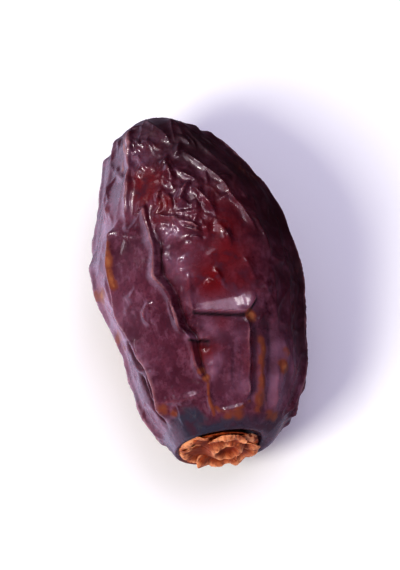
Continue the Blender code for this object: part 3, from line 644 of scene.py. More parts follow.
# Painted sheen and highlights: lilac sheen on the left rim, low on the right and in strips near the tip, the
# pale faces of the two ledges, the tops of lumps, and a line along the long fold low on the left
SHEEN_SPOTS = (
    (0.20, 43.5, 2.9, 1.0), (0.13, 45, 2.7, 1.0), (0.095, 48, 2.0, 0.8), (0.18, 60, 2.6, 0.6),
    (0.84, -35, 1.3, 1.0), (0.79, -36, 1.3, 1.0), (0.74, -37.5, 1.2, 1.0), (0.69, -39.5, 1.3, 0.9),
    (0.81, -26, 1.2, 0.8), (0.545, -14, 1.6, 1.0), (0.48, -16, 1.6, 0.8), (0.44, -13, 1.4, 0.7),
    (0.50, -8, 1.5, 0.5), (0.36, -13, 1.1, 0.7), (0.34, -5, 1.2, 1.0), (0.335, 3, 1.5, 1.0),
    (0.333, 11, 1.7, 1.0), (0.338, 19, 1.5, 1.0), (0.275, -3, 1.5, 1.0), (0.28, 6, 1.0, 0.5),
    (0.195, -4.5, 1.2, 0.8), (0.13, 8, 1.8, 0.4), (0.165, -6, 1.0, 0.8), (0.12, 13, 1.2, 0.6),
    (0.25, 12, 1.2, 0.4), (0.46, -14, 2.0, 0.7), (0.43, -11, 1.2, 0.8), (0.50, -84, 4.0, 1.0),
    (0.38, -84, 4.0, 0.9), (0.25, -78, 3.5, 0.5), (0.15, -74, 2.5, 0.2), (0.66, -72, 3.5, 0.7),
    (0.33, -67, 0.6, 1.0), (0.30, -64.5, 0.6, 1.0), (0.27, -61.5, 0.6, 1.0), (0.24, -58, 0.6, 0.9),
    (0.21, -55.5, 0.6, 0.7), (0.267, -17.5, 0.6, 1.3), (0.264, -14, 0.6, 1.3), (0.261, -10.5, 0.6, 1.3),
    (0.257, -7, 0.6, 1.2),
)
# The collar round the calyx is painted a dark blue-grey shade, the shade of the hollow there
# (degrees, station of the collar's upper edge)
COLLAR_EDGE = (
    (-180, 0.075), (-70, 0.085), (-50, 0.10), (-38, 0.112), (-27, 0.10), (-15, 0.055), (35, 0.052),
    (60, 0.065), (180, 0.075),
)
# (degrees, how dark the painted shade on the collar is)
COLLAR_SHADE_DEPTH = ((-180, 0.7), (-62, 0.45), (-44, 1.0), (-8, 1.0), (14, 0.8), (40, 0.55), (180, 0.7))
# The collar is full up to one share of its edge's station, and fades out over the other
COLLAR_FULL, COLLAR_FADE = 0.75, 0.3

collar_top = np.interp(degrees, *np.transpose(COLLAR_EDGE))
collar = 1 - smooth_step((station - COLLAR_FULL * collar_top) / (COLLAR_FADE * collar_top))
collar *= np.interp(degrees, *np.transpose(COLLAR_SHADE_DEPTH))
crumpled, ruby = spots(plain, CRUMPLED_SPOTS), spots(plain, RUBY_SPOTS)
plates = spots(plain, SMOOTH_PLATES)
# Marks for the colours, among them painted shade on the far flank and round the calyx, and painted sheen and
# highlights
keep_values(skin.data, {
    "crest": crest_mark, "groove": groove_shade_mark,
    "tan": np.maximum(tan, spots(plain, TAN_SPOTS)), "ruby": ruby,
    "crumpled": crumpled * free * (1 - 0.9 * spots(plain, SMOOTH_RED)),
    "netted": free * (1 - 0.8 * plates) * (1 - collar) * (1 - 0.6 * ruby),
    "lumpy": free * (1 - 0.75 * plates), "collar": collar,
    "darkened": spots(plain, SHADE_SPOTS), "bloomed": spots(plain, SHEEN_SPOTS)})
print("crumpled area:", round(float((crumpled > 0.5).mean()) * 100, 1), "% of the skin")

# %% [markdown]
# ## Crinkles by Geometry Nodes
# The fine creases follow a rule: cells whose edges are raised, stretched along the fruit and shaken by
# noise, so that no two are alike. That is a Voronoi texture's distance to its edges. In Geometry Nodes
# it moves real points, so the creases catch the light and are part of the mesh itself.
# Linking nodes one by one takes many lines, so a small class does it. Each socket is fed a number, a
# colour or another node's output.

# %% Helpers for node trees
# A Mix node has sockets for every kind of data. These are the numbers of the ones for colours.
MIX_BELOW, MIX_ABOVE, MIX_RESULT = 6, 7, 2


class Wiring:
    """Short ways to add nodes to one tree."""

    def __init__(self, tree):
        self.tree = tree

    def feed(self, sockets, inputs):
        for key, value in dict(inputs).items():
            if isinstance(value, bpy.types.NodeSocket):
                self.tree.links.new(value, sockets[key])
            else:
                sockets[key].default_value = value

    def node(self, kind, inputs=(), **settings):
        """Adds a node with its settings, feeds its inputs and returns its outputs."""
        new = self.tree.nodes.new(kind)
        for key, value in settings.items():
            setattr(new, key, value)
        self.feed(new.inputs, inputs)
        return new.outputs

    def math(self, operation, *values):
        return self.node("ShaderNodeMath", enumerate(values), operation=operation)[0]

    def vector_math(self, operation, inputs):
        return self.node("ShaderNodeVectorMath", inputs, operation=operation)[0]

    def times(self, value, *others):
        for other in others:
            value = self.math("MULTIPLY", value, other)
        return value

    def weighed(self, base, *pairs):
        """The base plus other values, each with its weight."""
        for value, weight in pairs:
            base = self.math("MULTIPLY_ADD", value, weight, base)
        return base

    def ramp(self, value, low, high):
        """0 up to low, 1 from high on, and a smooth rise between them."""
        inputs = {"Value": value, "From Min": low, "From Max": high}
        return self.node("ShaderNodeMapRange", inputs, interpolation_type="SMOOTHSTEP")["Result"]

    def noise(self, vector, grain, detail=4.0, roughness=0.55):
        """Clouds of about the size of the grain."""
        inputs = {"Vector": vector, "Scale": 1 / grain, "Detail": detail, "Roughness": roughness}
        return self.node("ShaderNodeTexNoise", inputs)["Fac"]

    def kept(self, name):
        """A value that was kept on the points of the mesh."""
        if self.tree.type == "GEOMETRY":
            read = self.node("GeometryNodeInputNamedAttribute", {"Name": name}, data_type="FLOAT")
            return read["Attribute"]
        return self.node("ShaderNodeAttribute", attribute_name=name)["Fac"]

    def layered(self, colour, *layers):
        """A colour with others laid over it, each by its own amount."""
        for amount, layer in layers:
            inputs = {0: amount, MIX_BELOW: colour, MIX_ABOVE: layer}
            colour = self.node("ShaderNodeMix", inputs, data_type="RGBA")[MIX_RESULT]
        return colour

    def bump(self, height, strength, distance):
        inputs = {"Height": height, "Strength": strength, "Distance": distance}
        return self.node("ShaderNodeBump", inputs)[0]


print("helpers:", ", ".join(name for name in vars(Wiring) if not name.startswith("_")))


# %% How a tree starts, ends and is used
def new_tree(name, inputs):
    """A tree with named inputs for its sizes, and the sockets that they come from."""
    tree = bpy.data.node_groups.new(name, "GeometryNodeTree")
    for in_out in ("INPUT", "OUTPUT"):
        tree.interface.new_socket("Geometry", in_out=in_out, socket_type="NodeSocketGeometry")
    for label, value in inputs.items():
        kind = "NodeSocketInt" if isinstance(value, int) else "NodeSocketFloat"
        tree.interface.new_socket(label, in_out="INPUT", socket_type=kind).default_value = value
    return Wiring(tree), tree.nodes.new("NodeGroupInput").outputs


def end_tree(wire, geometry, material):
    """Every tree ends alike: its instances become real faces and get their material."""
    real = wire.node("GeometryNodeRealizeInstances", {0: geometry})[0]
    dressed = wire.node("GeometryNodeSetMaterial", {"Geometry": real, "Material": material})[0]
    wire.node("NodeGroupOutput", {0: dressed})
    return wire.tree


def apply_tree(thing, tree, **values):
    """Runs a tree on an object and keeps the result as its plain mesh."""
    modifier = thing.modifiers.new(tree.name, "NODES")
    modifier.node_group = tree
    for socket in tree.interface.items_tree:
        if socket.in_out == "INPUT" and socket.name in values:
            modifier[socket.identifier] = values[socket.name]
    graph = bpy.context.evaluated_depsgraph_get()
    made = bpy.data.meshes.new_from_object(thing.evaluated_get(graph), preserve_all_data_layers=True,
                                           depsgraph=graph)
    thing.modifiers.remove(modifier)
    thing.data = made
    made.name = thing.name
    made.shade_smooth()
    return made


print("a tree's result is kept as a plain mesh")


# %% Tree that crinkles the skin
def crease_net(wire, place, cell, half_width, stretch):
    """Raised edges of cells: 1 on an edge, falling off over the half width. Sizes are in metres."""
    stretched = wire.vector_math("MULTIPLY", {0: place, 1: (1, stretch, 1)})
    cells = wire.node("ShaderNodeTexVoronoi", {"Vector": stretched, "Scale": wire.math("DIVIDE", 1.0, cell)},
                      feature="DISTANCE_TO_EDGE")
    across = wire.math("DIVIDE", wire.times(cells["Distance"], cell), half_width)
    return wire.math("EXPONENT", wire.times(across, -1.0))


def crinkle_tree(material):
    wire, start = new_tree("skin_crinkles", {
        "Net cell": 4.2 * MM, "Net height": 0.19 * MM, "Net half width": 0.26 * MM,
        "Crumple cell": 2.0 * MM, "Crumple height": 0.22 * MM, "Crumple half width": 0.22 * MM,
        "Lump size": 2.9 * MM, "Lump height": 0.30 * MM, "Shake": 1.3 * MM, "Seed": 4.0})
    position = wire.node("GeometryNodeInputPosition")[0]

    def seeded_noise(scale, detail, seed, roughness=0.5):
        inputs = {"Vector": position, "W": seed, "Scale": scale, "Detail": detail, "Roughness": roughness}
        return wire.node("ShaderNodeTexNoise", inputs, noise_dimensions="4D")

    shaker = seeded_noise(1 / (3.2 * MM), 2.0, start["Seed"])["Color"]
    centred = wire.vector_math("SUBTRACT", {0: shaker, 1: (0.5, 0.5, 0.5)})
    shake = wire.vector_math("SCALE", {0: centred, "Scale": start["Shake"]})
    shaken = wire.vector_math("ADD", {0: position, 1: shake})
    patchy = wire.ramp(seeded_noise(1 / (6.5 * MM), 1.0, start["Seed"])["Fac"], 0.40, 0.62)
    net = wire.times(crease_net(wire, shaken, start["Net cell"], start["Net half width"], 0.6),
                     wire.times(wire.kept("netted"), patchy))
    crumple = wire.times(crease_net(wire, shaken, start["Crumple cell"], start["Crumple half width"], 0.8),
                         wire.kept("crumpled"))
    lumps = seeded_noise(wire.math("DIVIDE", 1.0, start["Lump size"]), 2.5,
                         wire.math("ADD", start["Seed"], 7.0), 0.45)["Fac"]
    lump = wire.times(wire.math("SUBTRACT", lumps, 0.5), start["Lump height"])
    rise = wire.weighed(0.0, (net, start["Net height"]), (crumple, start["Crumple height"]),
                        (lump, wire.kept("lumpy")))
    normal = wire.node("GeometryNodeInputNormal")[0]
    marks = {"Geometry": start["Geometry"], "Name": "net", "Value": wire.math("MAXIMUM", net, crumple)}
    marked = wire.node("GeometryNodeStoreNamedAttribute", marks, data_type="FLOAT", domain="POINT")[0]
    offset = wire.vector_math("SCALE", {0: normal, "Scale": rise})
    moved = wire.node("GeometryNodeSetPosition", {"Geometry": marked, "Offset": offset})[0]
    return end_tree(wire, moved, material)


print("crinkle tree described")

# %% [markdown]
# ## The look of the skin
# Dried date skin is thin, brown-red and waxy over dark, sugary flesh. Light enters it and comes back red,
# so the shader has subsurface scattering with a long red reach. A coat on top gives the sharp glints of
# the wax. A photograph wrapped round the fruit would show one side of one date. So the colours are
# layers, each laid on by a noise or by a value that we kept on the points: tan crests, ruby spots, and
# also painted light: pale crests that are partly a painted highlight, a painted sheen on some flanks,
# lumps and ledges, and painted shade in the grooves, on the far flank and on the collar round the calyx.

# %% Colours of the skin
PLUM_DARK = (0.070, 0.012, 0.025, 1)
PLUM = (0.118, 0.028, 0.050, 1)
# Mauve wax bloom, partly a painted sheen
MAUVE_BLOOM_AND_SHEEN = (0.170, 0.060, 0.092, 1)
RUBY = (0.150, 0.0012, 0.003, 1)
# Lilac: for the dusty streaks, and as painted sheen and highlights
DUST_AND_SHEEN = (0.27, 0.135, 0.195, 1)
# A near-black plum, painted as shade
SHADE_PLUM = (0.026, 0.002, 0.005, 1)
TAN = (0.31, 0.118, 0.048, 1)
RUST = (0.19, 0.052, 0.027, 1)
# Painted shade in the grooves
GROOVE_SHADE = (0.012, 0.0025, 0.004, 1)
# Dark blue-grey, painted as shade on the collar round the calyx
COLLAR_SHADE = (0.042, 0.038, 0.058, 1)
# Pale rubbed crests, partly a painted highlight
RUBBED_AND_HIGHLIGHT = (0.36, 0.19, 0.20, 1)
print("eleven colours, from plum", PLUM[:3], "to the grey of the collar", COLLAR_SHADE[:3])


# %% Skin material
def new_material(name):
    """A material with its wiring and its shader's inputs."""
    material = bpy.data.materials.new(name)
    material.use_nodes = True
    tree = material.node_tree
    return material, Wiring(tree), tree.nodes["Principled BSDF"].inputs


def skin_material():
    material, wire, shader = new_material("waxy_date_skin")
    kept, ramp, times = wire.kept, wire.ramp, wire.times
    place = wire.node("ShaderNodeTexCoord")["Object"]
    streaky, lengthwise = (wire.node("ShaderNodeMapping", {"Vector": place, "Scale": (1, along, 1)})[0]
                           for along in (0.3, 0.5))
    cloudy = wire.noise(place, 5.5 * MM, 3.0)
    mottled = wire.noise(place, 1.6 * MM)
    fine = wire.noise(place, 0.45 * MM, 3.0)
    streaks = wire.noise(streaky, 0.9 * MM, 3.0)
    # How pale the crests are: rubbed skin and painted highlight, more in the crumpled patch
    rubbed_and_highlit = wire.weighed(0.20, (kept("crumpled"), 0.30), (ramp(mottled, 0.36, 0.60), 0.55))
    cracked = wire.weighed(0.42, (ramp(mottled, 0.36, 0.54), 0.55))
    worn = times(kept("tan"), wire.weighed(0.45, (ramp(mottled, 0.34, 0.60), 0.55)))
    colour = wire.layered(
        PLUM_DARK, (ramp(cloudy, 0.36, 0.64), PLUM),
        # Mauve wax bloom that is partly a painted sheen, dark specks and dusty streaks all over
        (times(ramp(mottled, 0.44, 0.66), 0.72), MAUVE_BLOOM_AND_SHEEN),
        (times(ramp(fine, 0.46, 0.62), 0.60), PLUM_DARK),
        (times(ramp(streaks, 0.52, 0.70), ramp(cloudy, 0.42, 0.60), 0.40), DUST_AND_SHEEN),
        # Painted sheen and highlights, painted shade on the far flank, rubbed crests that are partly a
        # painted highlight, thin skin, and painted shade in the grooves and on the collar, each in its own
        # places
        (times(kept("bloomed"), ramp(cloudy, 0.20, 0.62), 0.90), DUST_AND_SHEEN),
        # Painted shade on the far flank and round the tip
        (times(kept("darkened"), 0.92), SHADE_PLUM),
        (times(ramp(kept("crest"), 0.74, 1.10), rubbed_and_highlit), RUBBED_AND_HIGHLIGHT),
        (times(kept("ruby"), ramp(mottled, 0.25, 0.55)), RUBY),
        (times(kept("groove"), 0.88), GROOVE_SHADE),
        (times(kept("collar"), cracked), COLLAR_SHADE),
        # Skin that is pinched dry turns rusty, and at its driest tan
        (ramp(worn, 0.12, 0.45), RUST), (ramp(worn, 0.45, 0.85), TAN),
        (times(kept("net"), ramp(cloudy, 0.50, 0.70), 0.5), RUST))
    rough = wire.weighed(0.23, (ramp(mottled, 0.3, 0.8), 0.10), (worn, 0.15), (kept("crumpled"), -0.06),
                         (kept("darkened"), 0.20))
    creases = wire.node("ShaderNodeTexVoronoi", {"Vector": lengthwise, "Scale": 1 / (1.05 * MM)},
                        feature="DISTANCE_TO_EDGE")["Distance"]
    grain = wire.noise(lengthwise, 0.62 * MM, 4.0, 0.6)
    height = wire.weighed(0.0, (grain, 0.8), (ramp(creases, 0.0, 0.35), 0.25), (fine, 0.25))
    wire.feed(shader, {
        "Base Color": colour, "Roughness": rough, "Normal": wire.bump(height, 0.75, 0.050 * MM),
        "Subsurface Weight": 0.20, "Subsurface Scale": 1.0 * MM, "Subsurface Radius": (1.0, 0.16, 0.10),
        "Coat Weight": 0.40, "Coat Roughness": 0.08, "Coat IOR": 1.45,
        "IOR": 1.44, "Specular IOR Level": 0.30})
    return material


crinkled = apply_tree(skin, crinkle_tree(skin_material()), Seed=4.0)
points = read_vectors(crinkled.vertices, "co")
points[:, 2] = np.maximum(points[:, 2], 0)
set_points(crinkled, points)
low, high = ((limit(0) / MM).round(2) for limit in (points.min, points.max))
print("skin:", len(crinkled.polygons), "faces, box from", low, "to", high, "mm")

# %% [markdown]
# ## The calyx
# The calyx is what is left of the flower: three sepals and three petals, dried to wood, lying over one
# another round a raised ring with a small cup in it. Disc, ring and cup are a turned shape, so they come
# from a section, as on a lathe, and noise then makes them ragged. The ring sits a little off the middle.

# %% Disc, ring and cup
# (distance from the axis, depth behind the front of the fruit, both in mm) from the back round to the cup
CALYX_SECTION = (
    (0.0, 2.55), (2.2, 2.40), (3.3, 2.10), (4.1, 1.50), (4.65, 1.15), (4.9, 0.95), (4.6, 0.82),
    (4.0, 1.00), (3.2, 1.05), (2.6, 0.88), (2.15, 0.38), (1.80, 0.0), (1.50, 0.12), (1.25, 0.52),
    (0.85, 0.80), (0.0, 0.88),
)
CALYX_MIDDLE = PROFILE[0][2] * MM
RING_RADIUS = 1.8 * MM
RING_WAVE = 0.35 * MM
RING_SHIFT = 0.9 * MM
STREAK_HEIGHT = 0.14 * MM
RAGGED_HEIGHT = 0.20 * MM
RAGGED_EDGE = 0.05
HOLLOW_RADIUS = 3.1 * MM


def calyx_points(radius, depth, turn):
    """From the calyx's own radius, depth behind the front of the fruit and angle to the object's frame."""
    x = CALYX_MIDDLE + radius * np.sin(turn)
    return in_row_frame(np.column_stack([x, depth - LENGTH / 2, radius * np.cos(turn)]))


def calyx_centre(depth):
    return calyx_points(*np.reshape((0.0, depth, 0.0), (3, 1)))[0]


def round_noise(angle, radius, around, along):
    """Noise over the disc: around and along say how fast it changes with the angle and the radius."""
    return np.array([noise.noise(Vector((math.cos(a) * around, math.sin(a) * around, r / MM * along)))
                     for a, r in zip(angle, radius)])


def calyx_disc():
    disc, share, angle = ball_object("calyx_disc", 180, 110)
    line = turned_curve(np.array(CALYX_SECTION) * MM, 400, (-1, 1))
    even = np.linspace(0, 1, len(line))
    radius, depth = (np.interp(1 - share, even, line[:, k]) for k in range(2))
    out = radius / MM
    front = 1 - share > even[np.argmax(line[:, 0])]
    ragged = round_noise(angle, radius, 2.5, 1.0)
    streaks = round_noise(angle, radius, 7.0, 0.4) * smooth_step(out - 1.6)
    ring = np.exp(-((radius - RING_RADIUS) / (0.38 * MM)) ** 2) * front
    depth = depth - front * (STREAK_HEIGHT * streaks + RAGGED_HEIGHT * ragged * (out > 1.0))
    depth = depth - RING_WAVE * ring * round_noise(angle, np.zeros(len(angle)), 1.6, 0)
    points = calyx_points(radius * (1 + RAGGED_EDGE * ragged * (out > 1.2)), depth, angle)
    points[:, 0] += RING_SHIFT * (1 - smooth_step((out - 1.6) / 2.8)) * front
    set_points(disc.data, points)
    # On the disc the hollow round the ring is marked for painted shade
    keep_values(disc.data, {"edge": np.zeros(len(radius)), "ring": ring,
                            "cup": (1 - smooth_step((out - 1.0) / 0.5)) * front,
                            "hollow": np.exp(-((radius - HOLLOW_RADIUS) / (0.8 * MM)) ** 2) * front})
    face_outwards(disc.data)
    return disc


disc = calyx_disc()
print("disc of", len(disc.data.polygons), "faces")

# %% [markdown]
# One lobe is a thin, woody scale, broad at its rounded end, with fibres along it and a torn, raised rim.
# We could carve it by hand. A formula on the points of a flattened ball gives the same, and stays easy to
# change. One side lies a little higher than the other, so that each lobe covers the edge of its
# neighbour, as the tiles of a round roof do.

# %% One lobe
LOBE_RING = 1.9 * MM
LOBE_REACH = 5.2 * MM
LOBE_SPREAD = math.radians(46)
LOBE_THICK = 0.34 * MM
LOBE_LAP_RISE = 0.30 * MM
RIM_RISE = 0.52 * MM
WRINKLE_RISE, RIDGE_RISE, FIBRE_RISE = 0.30 * MM, 0.20 * MM, 0.12 * MM


def lobe_mesh(name):
    """A lobe along +Z, facing -Y: a cupped plate with a raised, rounded rim, closed all round."""
    bm = bmesh.new()
    bmesh.ops.create_uvsphere(bm, u_segments=96, v_segments=60, radius=1)
    hollow_layer, edge_layer = (bm.verts.layers.float.new(key) for key in ("hollow", "edge"))
    for v in bm.verts:
        x, y, z = v.co
        along = (z + 1) / 2
        spread = LOBE_SPREAD * x
        wrinkle = noise.noise(Vector((x * 1.8, along * 2.2, 1.7)))
        ridges = noise.noise(Vector((x * 4.2, along * 1.4, 5.3)))
        torn = noise.noise(Vector((x * 2.4, 0.4, 9.1))) + 0.35 * noise.noise(Vector((x * 9, along * 2, 4.4)))
        fibre = noise.noise(Vector((x * 15, along * 1.6, 2.6)))
        ends = 1 - 0.12 * abs(x) ** 3 + 0.05 * wrinkle + 0.09 * torn * smooth_step((along - 0.6) / 0.4)
        radius = LOBE_RING + (LOBE_REACH - LOBE_RING) * along * ends
        rim = smooth_step((along - 0.42) / 0.40) * (1 - 0.55 * smooth_step((along - 0.86) / 0.14))
        sides = 0.30 * abs(x) ** 3 * smooth_step(along * 2)
        lap = LOBE_LAP_RISE * (x * 0.5 + 0.5) * min(1, along * 2.2)
        depth = -lap - RIM_RISE * (rim * (1 + 0.5 * torn) + sides) + y * LOBE_THICK * (1 - 0.4 * along)
        rough = WRINKLE_RISE * wrinkle + RIDGE_RISE * ridges + FIBRE_RISE * fibre
        depth -= rough * smooth_step(along * 2)
        # The floor of the lobe's cup is marked for painted shade, and its rim for a pale colour that is
        # partly a painted highlight
        v[hollow_layer] = math.exp(-((along - 0.35) / 0.22) ** 2) * (1 - 0.6 * x * x)
        v[edge_layer] = min(1, smooth_step((along - 0.55) / 0.25) + smooth_step((abs(x) - 0.80) / 0.2))
        v.co = (radius * math.sin(spread), depth, radius * math.cos(spread))
    return mesh_from(bm, name)


lobe = new_object("calyx_lobe", lobe_mesh("calyx_lobe"))
face_outwards(lobe.data)
print("one lobe reaches", round(LOBE_REACH / MM, 2), "mm from the middle")

# %% [markdown]
# The six lobes repeat, so Geometry Nodes set the one lobe on six points, each turned a sixth further. Every
# other one lies a step deeper, as the petals lie behind the sepals, and seeded random numbers change the
# tilt and the size of each a little.

# %% Tree that sets the lobes
# A Random Value node too has sockets for every kind of data. These are the numbers of the ones for floats.
RANDOM_MIN, RANDOM_MAX, RANDOM_RESULT = 2, 3, 1


def lobe_tree(material, lobe_object):
    wire, start = new_tree("calyx_lobes", {
        "Lobes": 6, "Turn": math.radians(14), "Size change": 0.09, "Tilt change": 0.13,
        "Step back": 0.35 * MM, "Seed": 5})
    index = wire.node("GeometryNodeInputIndex")[0]

    def drawn(span, shift):
        inputs = {RANDOM_MIN: wire.times(span, -1.0), RANDOM_MAX: span, "ID": index,
                  "Seed": wire.math("ADD", start["Seed"], shift)}
        return wire.node("FunctionNodeRandomValue", inputs, data_type="FLOAT")[RANDOM_RESULT]

    step_back = wire.times(wire.math("MODULO", index, 2.0), start["Step back"])
    back_row = wire.node("ShaderNodeCombineXYZ", {"Y": step_back})[0]
    points = wire.node("GeometryNodePoints", {"Count": start["Lobes"], "Position": back_row})[0]
    turn = wire.weighed(start["Turn"], (index, wire.math("DIVIDE", math.tau, start["Lobes"])))
    rotation = wire.node("ShaderNodeCombineXYZ", {
        "X": drawn(start["Tilt change"], 1.0),
        "Y": wire.math("ADD", turn, drawn(start["Tilt change"], 2.0))})[0]
    size = wire.math("ADD", 1.0, drawn(start["Size change"], 3.0))
    source = wire.node("GeometryNodeObjectInfo", {"Object": lobe_object})["Geometry"]
    placed = wire.node("GeometryNodeInstanceOnPoints", {
        "Points": points, "Instance": source, "Rotation": rotation, "Scale": size})[0]
    return end_tree(wire, placed, material)


print("lobe tree described")

# %% [markdown]
# ## The look of the calyx
# It is dry, fibrous and orange-brown, and red in the cup. The ring and the rims are pale, partly rubbed and
# partly a painted highlight, and the hollows get a painted shade. Fibres run from the ring outwards, so the
# pattern needs the angle round the calyx. We get that from the object's own coordinates, moved to the
# calyx's middle by a Mapping node.

# %% Calyx material
BARK = (0.40, 0.092, 0.020, 1)
# Pale bark on the ring and rims, partly rubbed and partly a painted highlight
BARK_PALE_AND_HIGHLIGHT = (0.72, 0.33, 0.17, 1)
# Dark bark, for the fibres and specks, and as painted shade in the hollows
BARK_DARK_AND_SHADE = (0.17, 0.024, 0.003, 1)
CUP_RED = (0.22, 0.030, 0.003, 1)
PATTERN_DEPTH = 0.6 * MM
LOBE_DEPTH = 1.15 * MM
FIBRE_SCALES = {"X": 3.4, "Y": 110.0, "Z": 260.0}


def calyx_material():
    material, wire, shader = new_material("woody_calyx")
    kept, ramp, times = wire.kept, wire.ramp, wire.times
    place = wire.node("ShaderNodeTexCoord")["Object"]
    middle = tuple(-calyx_centre(PATTERN_DEPTH))
    centred = wire.node("ShaderNodeMapping", {"Vector": place, "Location": middle})[0]
    x, y, z = wire.node("ShaderNodeSeparateXYZ", {0: centred})
    turn = wire.math("ARCTAN2", x, z)
    out = wire.math("SQRT", wire.weighed(times(x, x), (z, z)))
    polar = {key: times(value, FIBRE_SCALES[key]) for key, value in (("X", turn), ("Y", out), ("Z", y))}
    fibres = wire.noise(wire.node("ShaderNodeCombineXYZ", polar)[0], 0.2, 4.0, 0.6)
    blotches = wire.noise(place, 1.5 * MM)
    specks = ramp(wire.noise(place, 0.4 * MM, 3.0), 0.52, 0.68)
    raised = wire.math("MAXIMUM", kept("ring"), kept("edge"))
    colour = wire.layered(
        BARK_DARK_AND_SHADE, (ramp(fibres, 0.36, 0.56), BARK),
        # Painted shade in the hollows
        (times(kept("hollow"), 0.9), BARK_DARK_AND_SHADE),
        # Pale ring and rims, partly rubbed, partly a painted highlight
        (times(raised, ramp(blotches, 0.30, 0.60)), BARK_PALE_AND_HIGHLIGHT),
        (times(kept("cup"), 0.9), CUP_RED),
        (times(specks, 0.6), BARK_DARK_AND_SHADE))
    height = wire.weighed(0.0, (fibres, 0.6), (blotches, 0.4))
    wire.feed(shader, {
        "Base Color": colour, "Roughness": wire.weighed(0.50, (blotches, 0.3)),
        "Normal": wire.bump(height, 0.9, 0.16 * MM), "Subsurface Weight": 0.15,
        "Subsurface Scale": 0.5 * MM, "Subsurface Radius": (1.0, 0.4, 0.15), "Coat Weight": 0.1,
        "Coat Roughness": 0.28})
    return material


calyx_look = calyx_material()
disc.data.materials.append(calyx_look)
lobes = new_object("calyx_lobes", bpy.data.meshes.new("calyx_lobes"))
made = apply_tree(lobes, lobe_tree(calyx_look, lobe), Lobes=6, Seed=5)
bpy.data.objects.remove(lobe)
set_points(made, read_vectors(made.vertices, "co") + calyx_centre(LOBE_DEPTH))
print("lobes:", len(made.polygons), "faces")

# %% [markdown]
# ## Floor, light and camera
# The date lies on a plain white sheet. Waxy skin is hard to light: what shapes its body isn't what its
# gloss should mirror. So the work is split. Two large lights shape the body and don't show in the gloss,
# and eight small lamps show only in the gloss, each placed where some fold mirrors it to the camera.
# The floor isn't mirrored either. The surround stands in for it: bright low on the left, which gives that
# side its lilac sheen, and dark far on the right. A contrasty tone curve keeps the plum skin deep.

# %% Floor and surround
FLOOR_HALF = 3.0
SURROUND = (0.81, 0.76, 1.0, 1)
PLAIN_LEVEL = 0.37
FLOOR_GLOW = 1.5
CORNER_SHADE = -0.31
DARK_CORNER = (0.70, 0.70, -0.14)

bm = bmesh.new()
bmesh.ops.create_grid(bm, x_segments=1, y_segments=1, size=FLOOR_HALF)
floor = new_object("floor", mesh_from(bm, "floor"))
paper, wire, shader = new_material("white_sheet")
wire.feed(shader, {"Base Color": (0.97, 0.97, 0.97, 1), "Roughness": 0.6})
floor.data.materials.append(paper)
floor.visible_glossy = False

scene = bpy.context.scene
scene.world = bpy.data.worlds.new("studio")
scene.world.use_nodes = True
sky = Wiring(scene.world.node_tree)
direction = sky.node("ShaderNodeTexCoord")["Generated"]
x, y, z = sky.node("ShaderNodeSeparateXYZ", {0: direction})
low = sky.ramp(sky.times(z, -1.0), -0.12, 0.15)
left = sky.ramp(sky.times(x, -1.0), 0.2, 0.7)
corner = sky.node("ShaderNodeVectorMath", {0: direction, 1: DARK_CORNER}, operation="DOT_PRODUCT")["Value"]
dark = sky.ramp(corner, 0.50, 0.92)
level = sky.weighed(PLAIN_LEVEL, (sky.times(low, left), FLOOR_GLOW), (dark, CORNER_SHADE))
sky.feed(sky.tree.nodes["Background"].inputs, {"Color": SURROUND, "Strength": level})
scene.view_settings.view_transform = "Standard"
scene.view_settings.look = "High Contrast"
print("floor", 2 * FLOOR_HALF, "m wide, surround level", PLAIN_LEVEL)

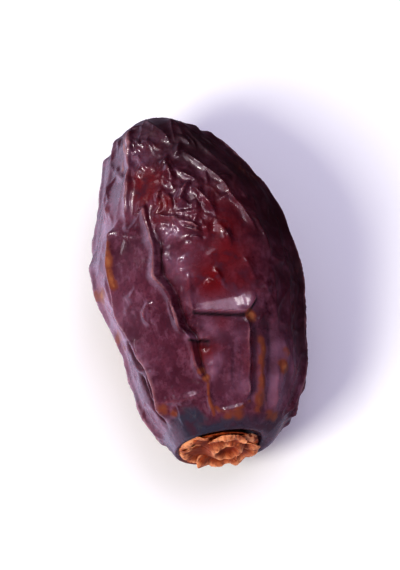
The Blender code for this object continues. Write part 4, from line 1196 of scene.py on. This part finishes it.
# %% Lights
# (name, place in m, size in m, power in W, colour)
BODY_LIGHTS = (
    ("key_light", (-0.36, -0.24, 0.42), (0.20, 0.20), 2.15, (1.0, 0.99, 0.86)),
    ("fill_light", (0.25, 0.20, 0.75), (0.60, 0.60), 1.60, (0.86, 0.82, 1.0)),
)
GLOSS_LAMPS = (
    ("window", (0.10, 0.337, 0.447), (0.21, 0.14), 0.30, (0.90, 0.84, 1.0)),
    ("right_lamp", (0.19, 0.34, 0.42), (0.035, 0.035), 0.08, (1.0, 1.0, 0.97)),
    ("left_lamp", (-0.166, 0.373, 0.38), (0.05, 0.04), 0.40, (1.0, 1.0, 0.95)),
    ("small_lamp", (-0.06, 0.37, 0.40), (0.04, 0.04), 0.32, (1.0, 1.0, 0.95)),
    ("soft_left", (-0.205, 0.315, 0.415), (0.30, 0.12), 0.50, (0.93, 0.88, 1.0)),
    ("low_lamp", (-0.12, 0.45, 0.31), (0.12, 0.08), 0.09, (0.93, 0.92, 1.0)),
    ("edge_strip", (-0.463, 0.236, 0.191), (0.05, 0.04), 0.05, (0.97, 0.95, 1.0)),
    ("front_lamp", (-0.36, -0.24, 0.42), (0.05, 0.05), 0.12, (1.0, 1.0, 0.95)),
)
LIGHT_AIM = (0, 0, 0.012)


def softbox(name, place, size, power, colour):
    """A rectangular lamp that faces the date."""
    light = bpy.data.lights.new(name, "AREA")
    light.shape = "RECTANGLE"
    light.size, light.size_y = size
    light.energy = power
    light.color = colour
    box = new_object(name, light)
    box.location = place
    box.rotation_euler = (Vector(LIGHT_AIM) - Vector(place)).to_track_quat("-Z", "Y").to_euler()
    return box


for row in BODY_LIGHTS:
    softbox(*row).visible_glossy = False
for row in GLOSS_LAMPS:
    softbox(*row).visible_diffuse = False
print(len(BODY_LIGHTS), "lights for the body,", len(GLOSS_LAMPS), "lamps for the gloss")

# %% [markdown]
# The camera looks down steeply, about 66 degrees, and a little from the left of the calyx. It stands
# 0.6 m away with a long lens, so that the near end hardly grows.

# %% Camera
VIEW_AZIMUTH = math.radians(-9.5)
VIEW_ELEVATION = math.radians(66)
VIEW_DISTANCE = 0.6
FRAME_HEIGHT = 73.5 * MM
SENSOR = 36.0
VIEW_MIDDLE = (0.5 * MM, 0, -0.2 * MM)

back = Vector((math.sin(VIEW_AZIMUTH) * math.cos(VIEW_ELEVATION),
               -math.cos(VIEW_AZIMUTH) * math.cos(VIEW_ELEVATION), math.sin(VIEW_ELEVATION)))
lens = bpy.data.cameras.new("camera")
lens.sensor_width = SENSOR
lens.lens = SENSOR * VIEW_DISTANCE / FRAME_HEIGHT
lens.clip_start = 0.01
camera = new_object("camera", lens)
camera.location = Vector(in_row_frame(VIEW_MIDDLE)) + back * VIEW_DISTANCE
camera.rotation_euler = (-back).to_track_quat("-Z", "Y").to_euler()
scene.camera = camera
print("lens", round(lens.lens), "mm at", VIEW_DISTANCE, "m")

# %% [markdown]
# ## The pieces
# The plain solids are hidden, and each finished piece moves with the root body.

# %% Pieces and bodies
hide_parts("date_fruit")
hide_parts("calyx_cap")
for piece, finish in ((skin, "date_skin"), (disc, "calyx"), (lobes, "calyx")):
    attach(piece, "root")
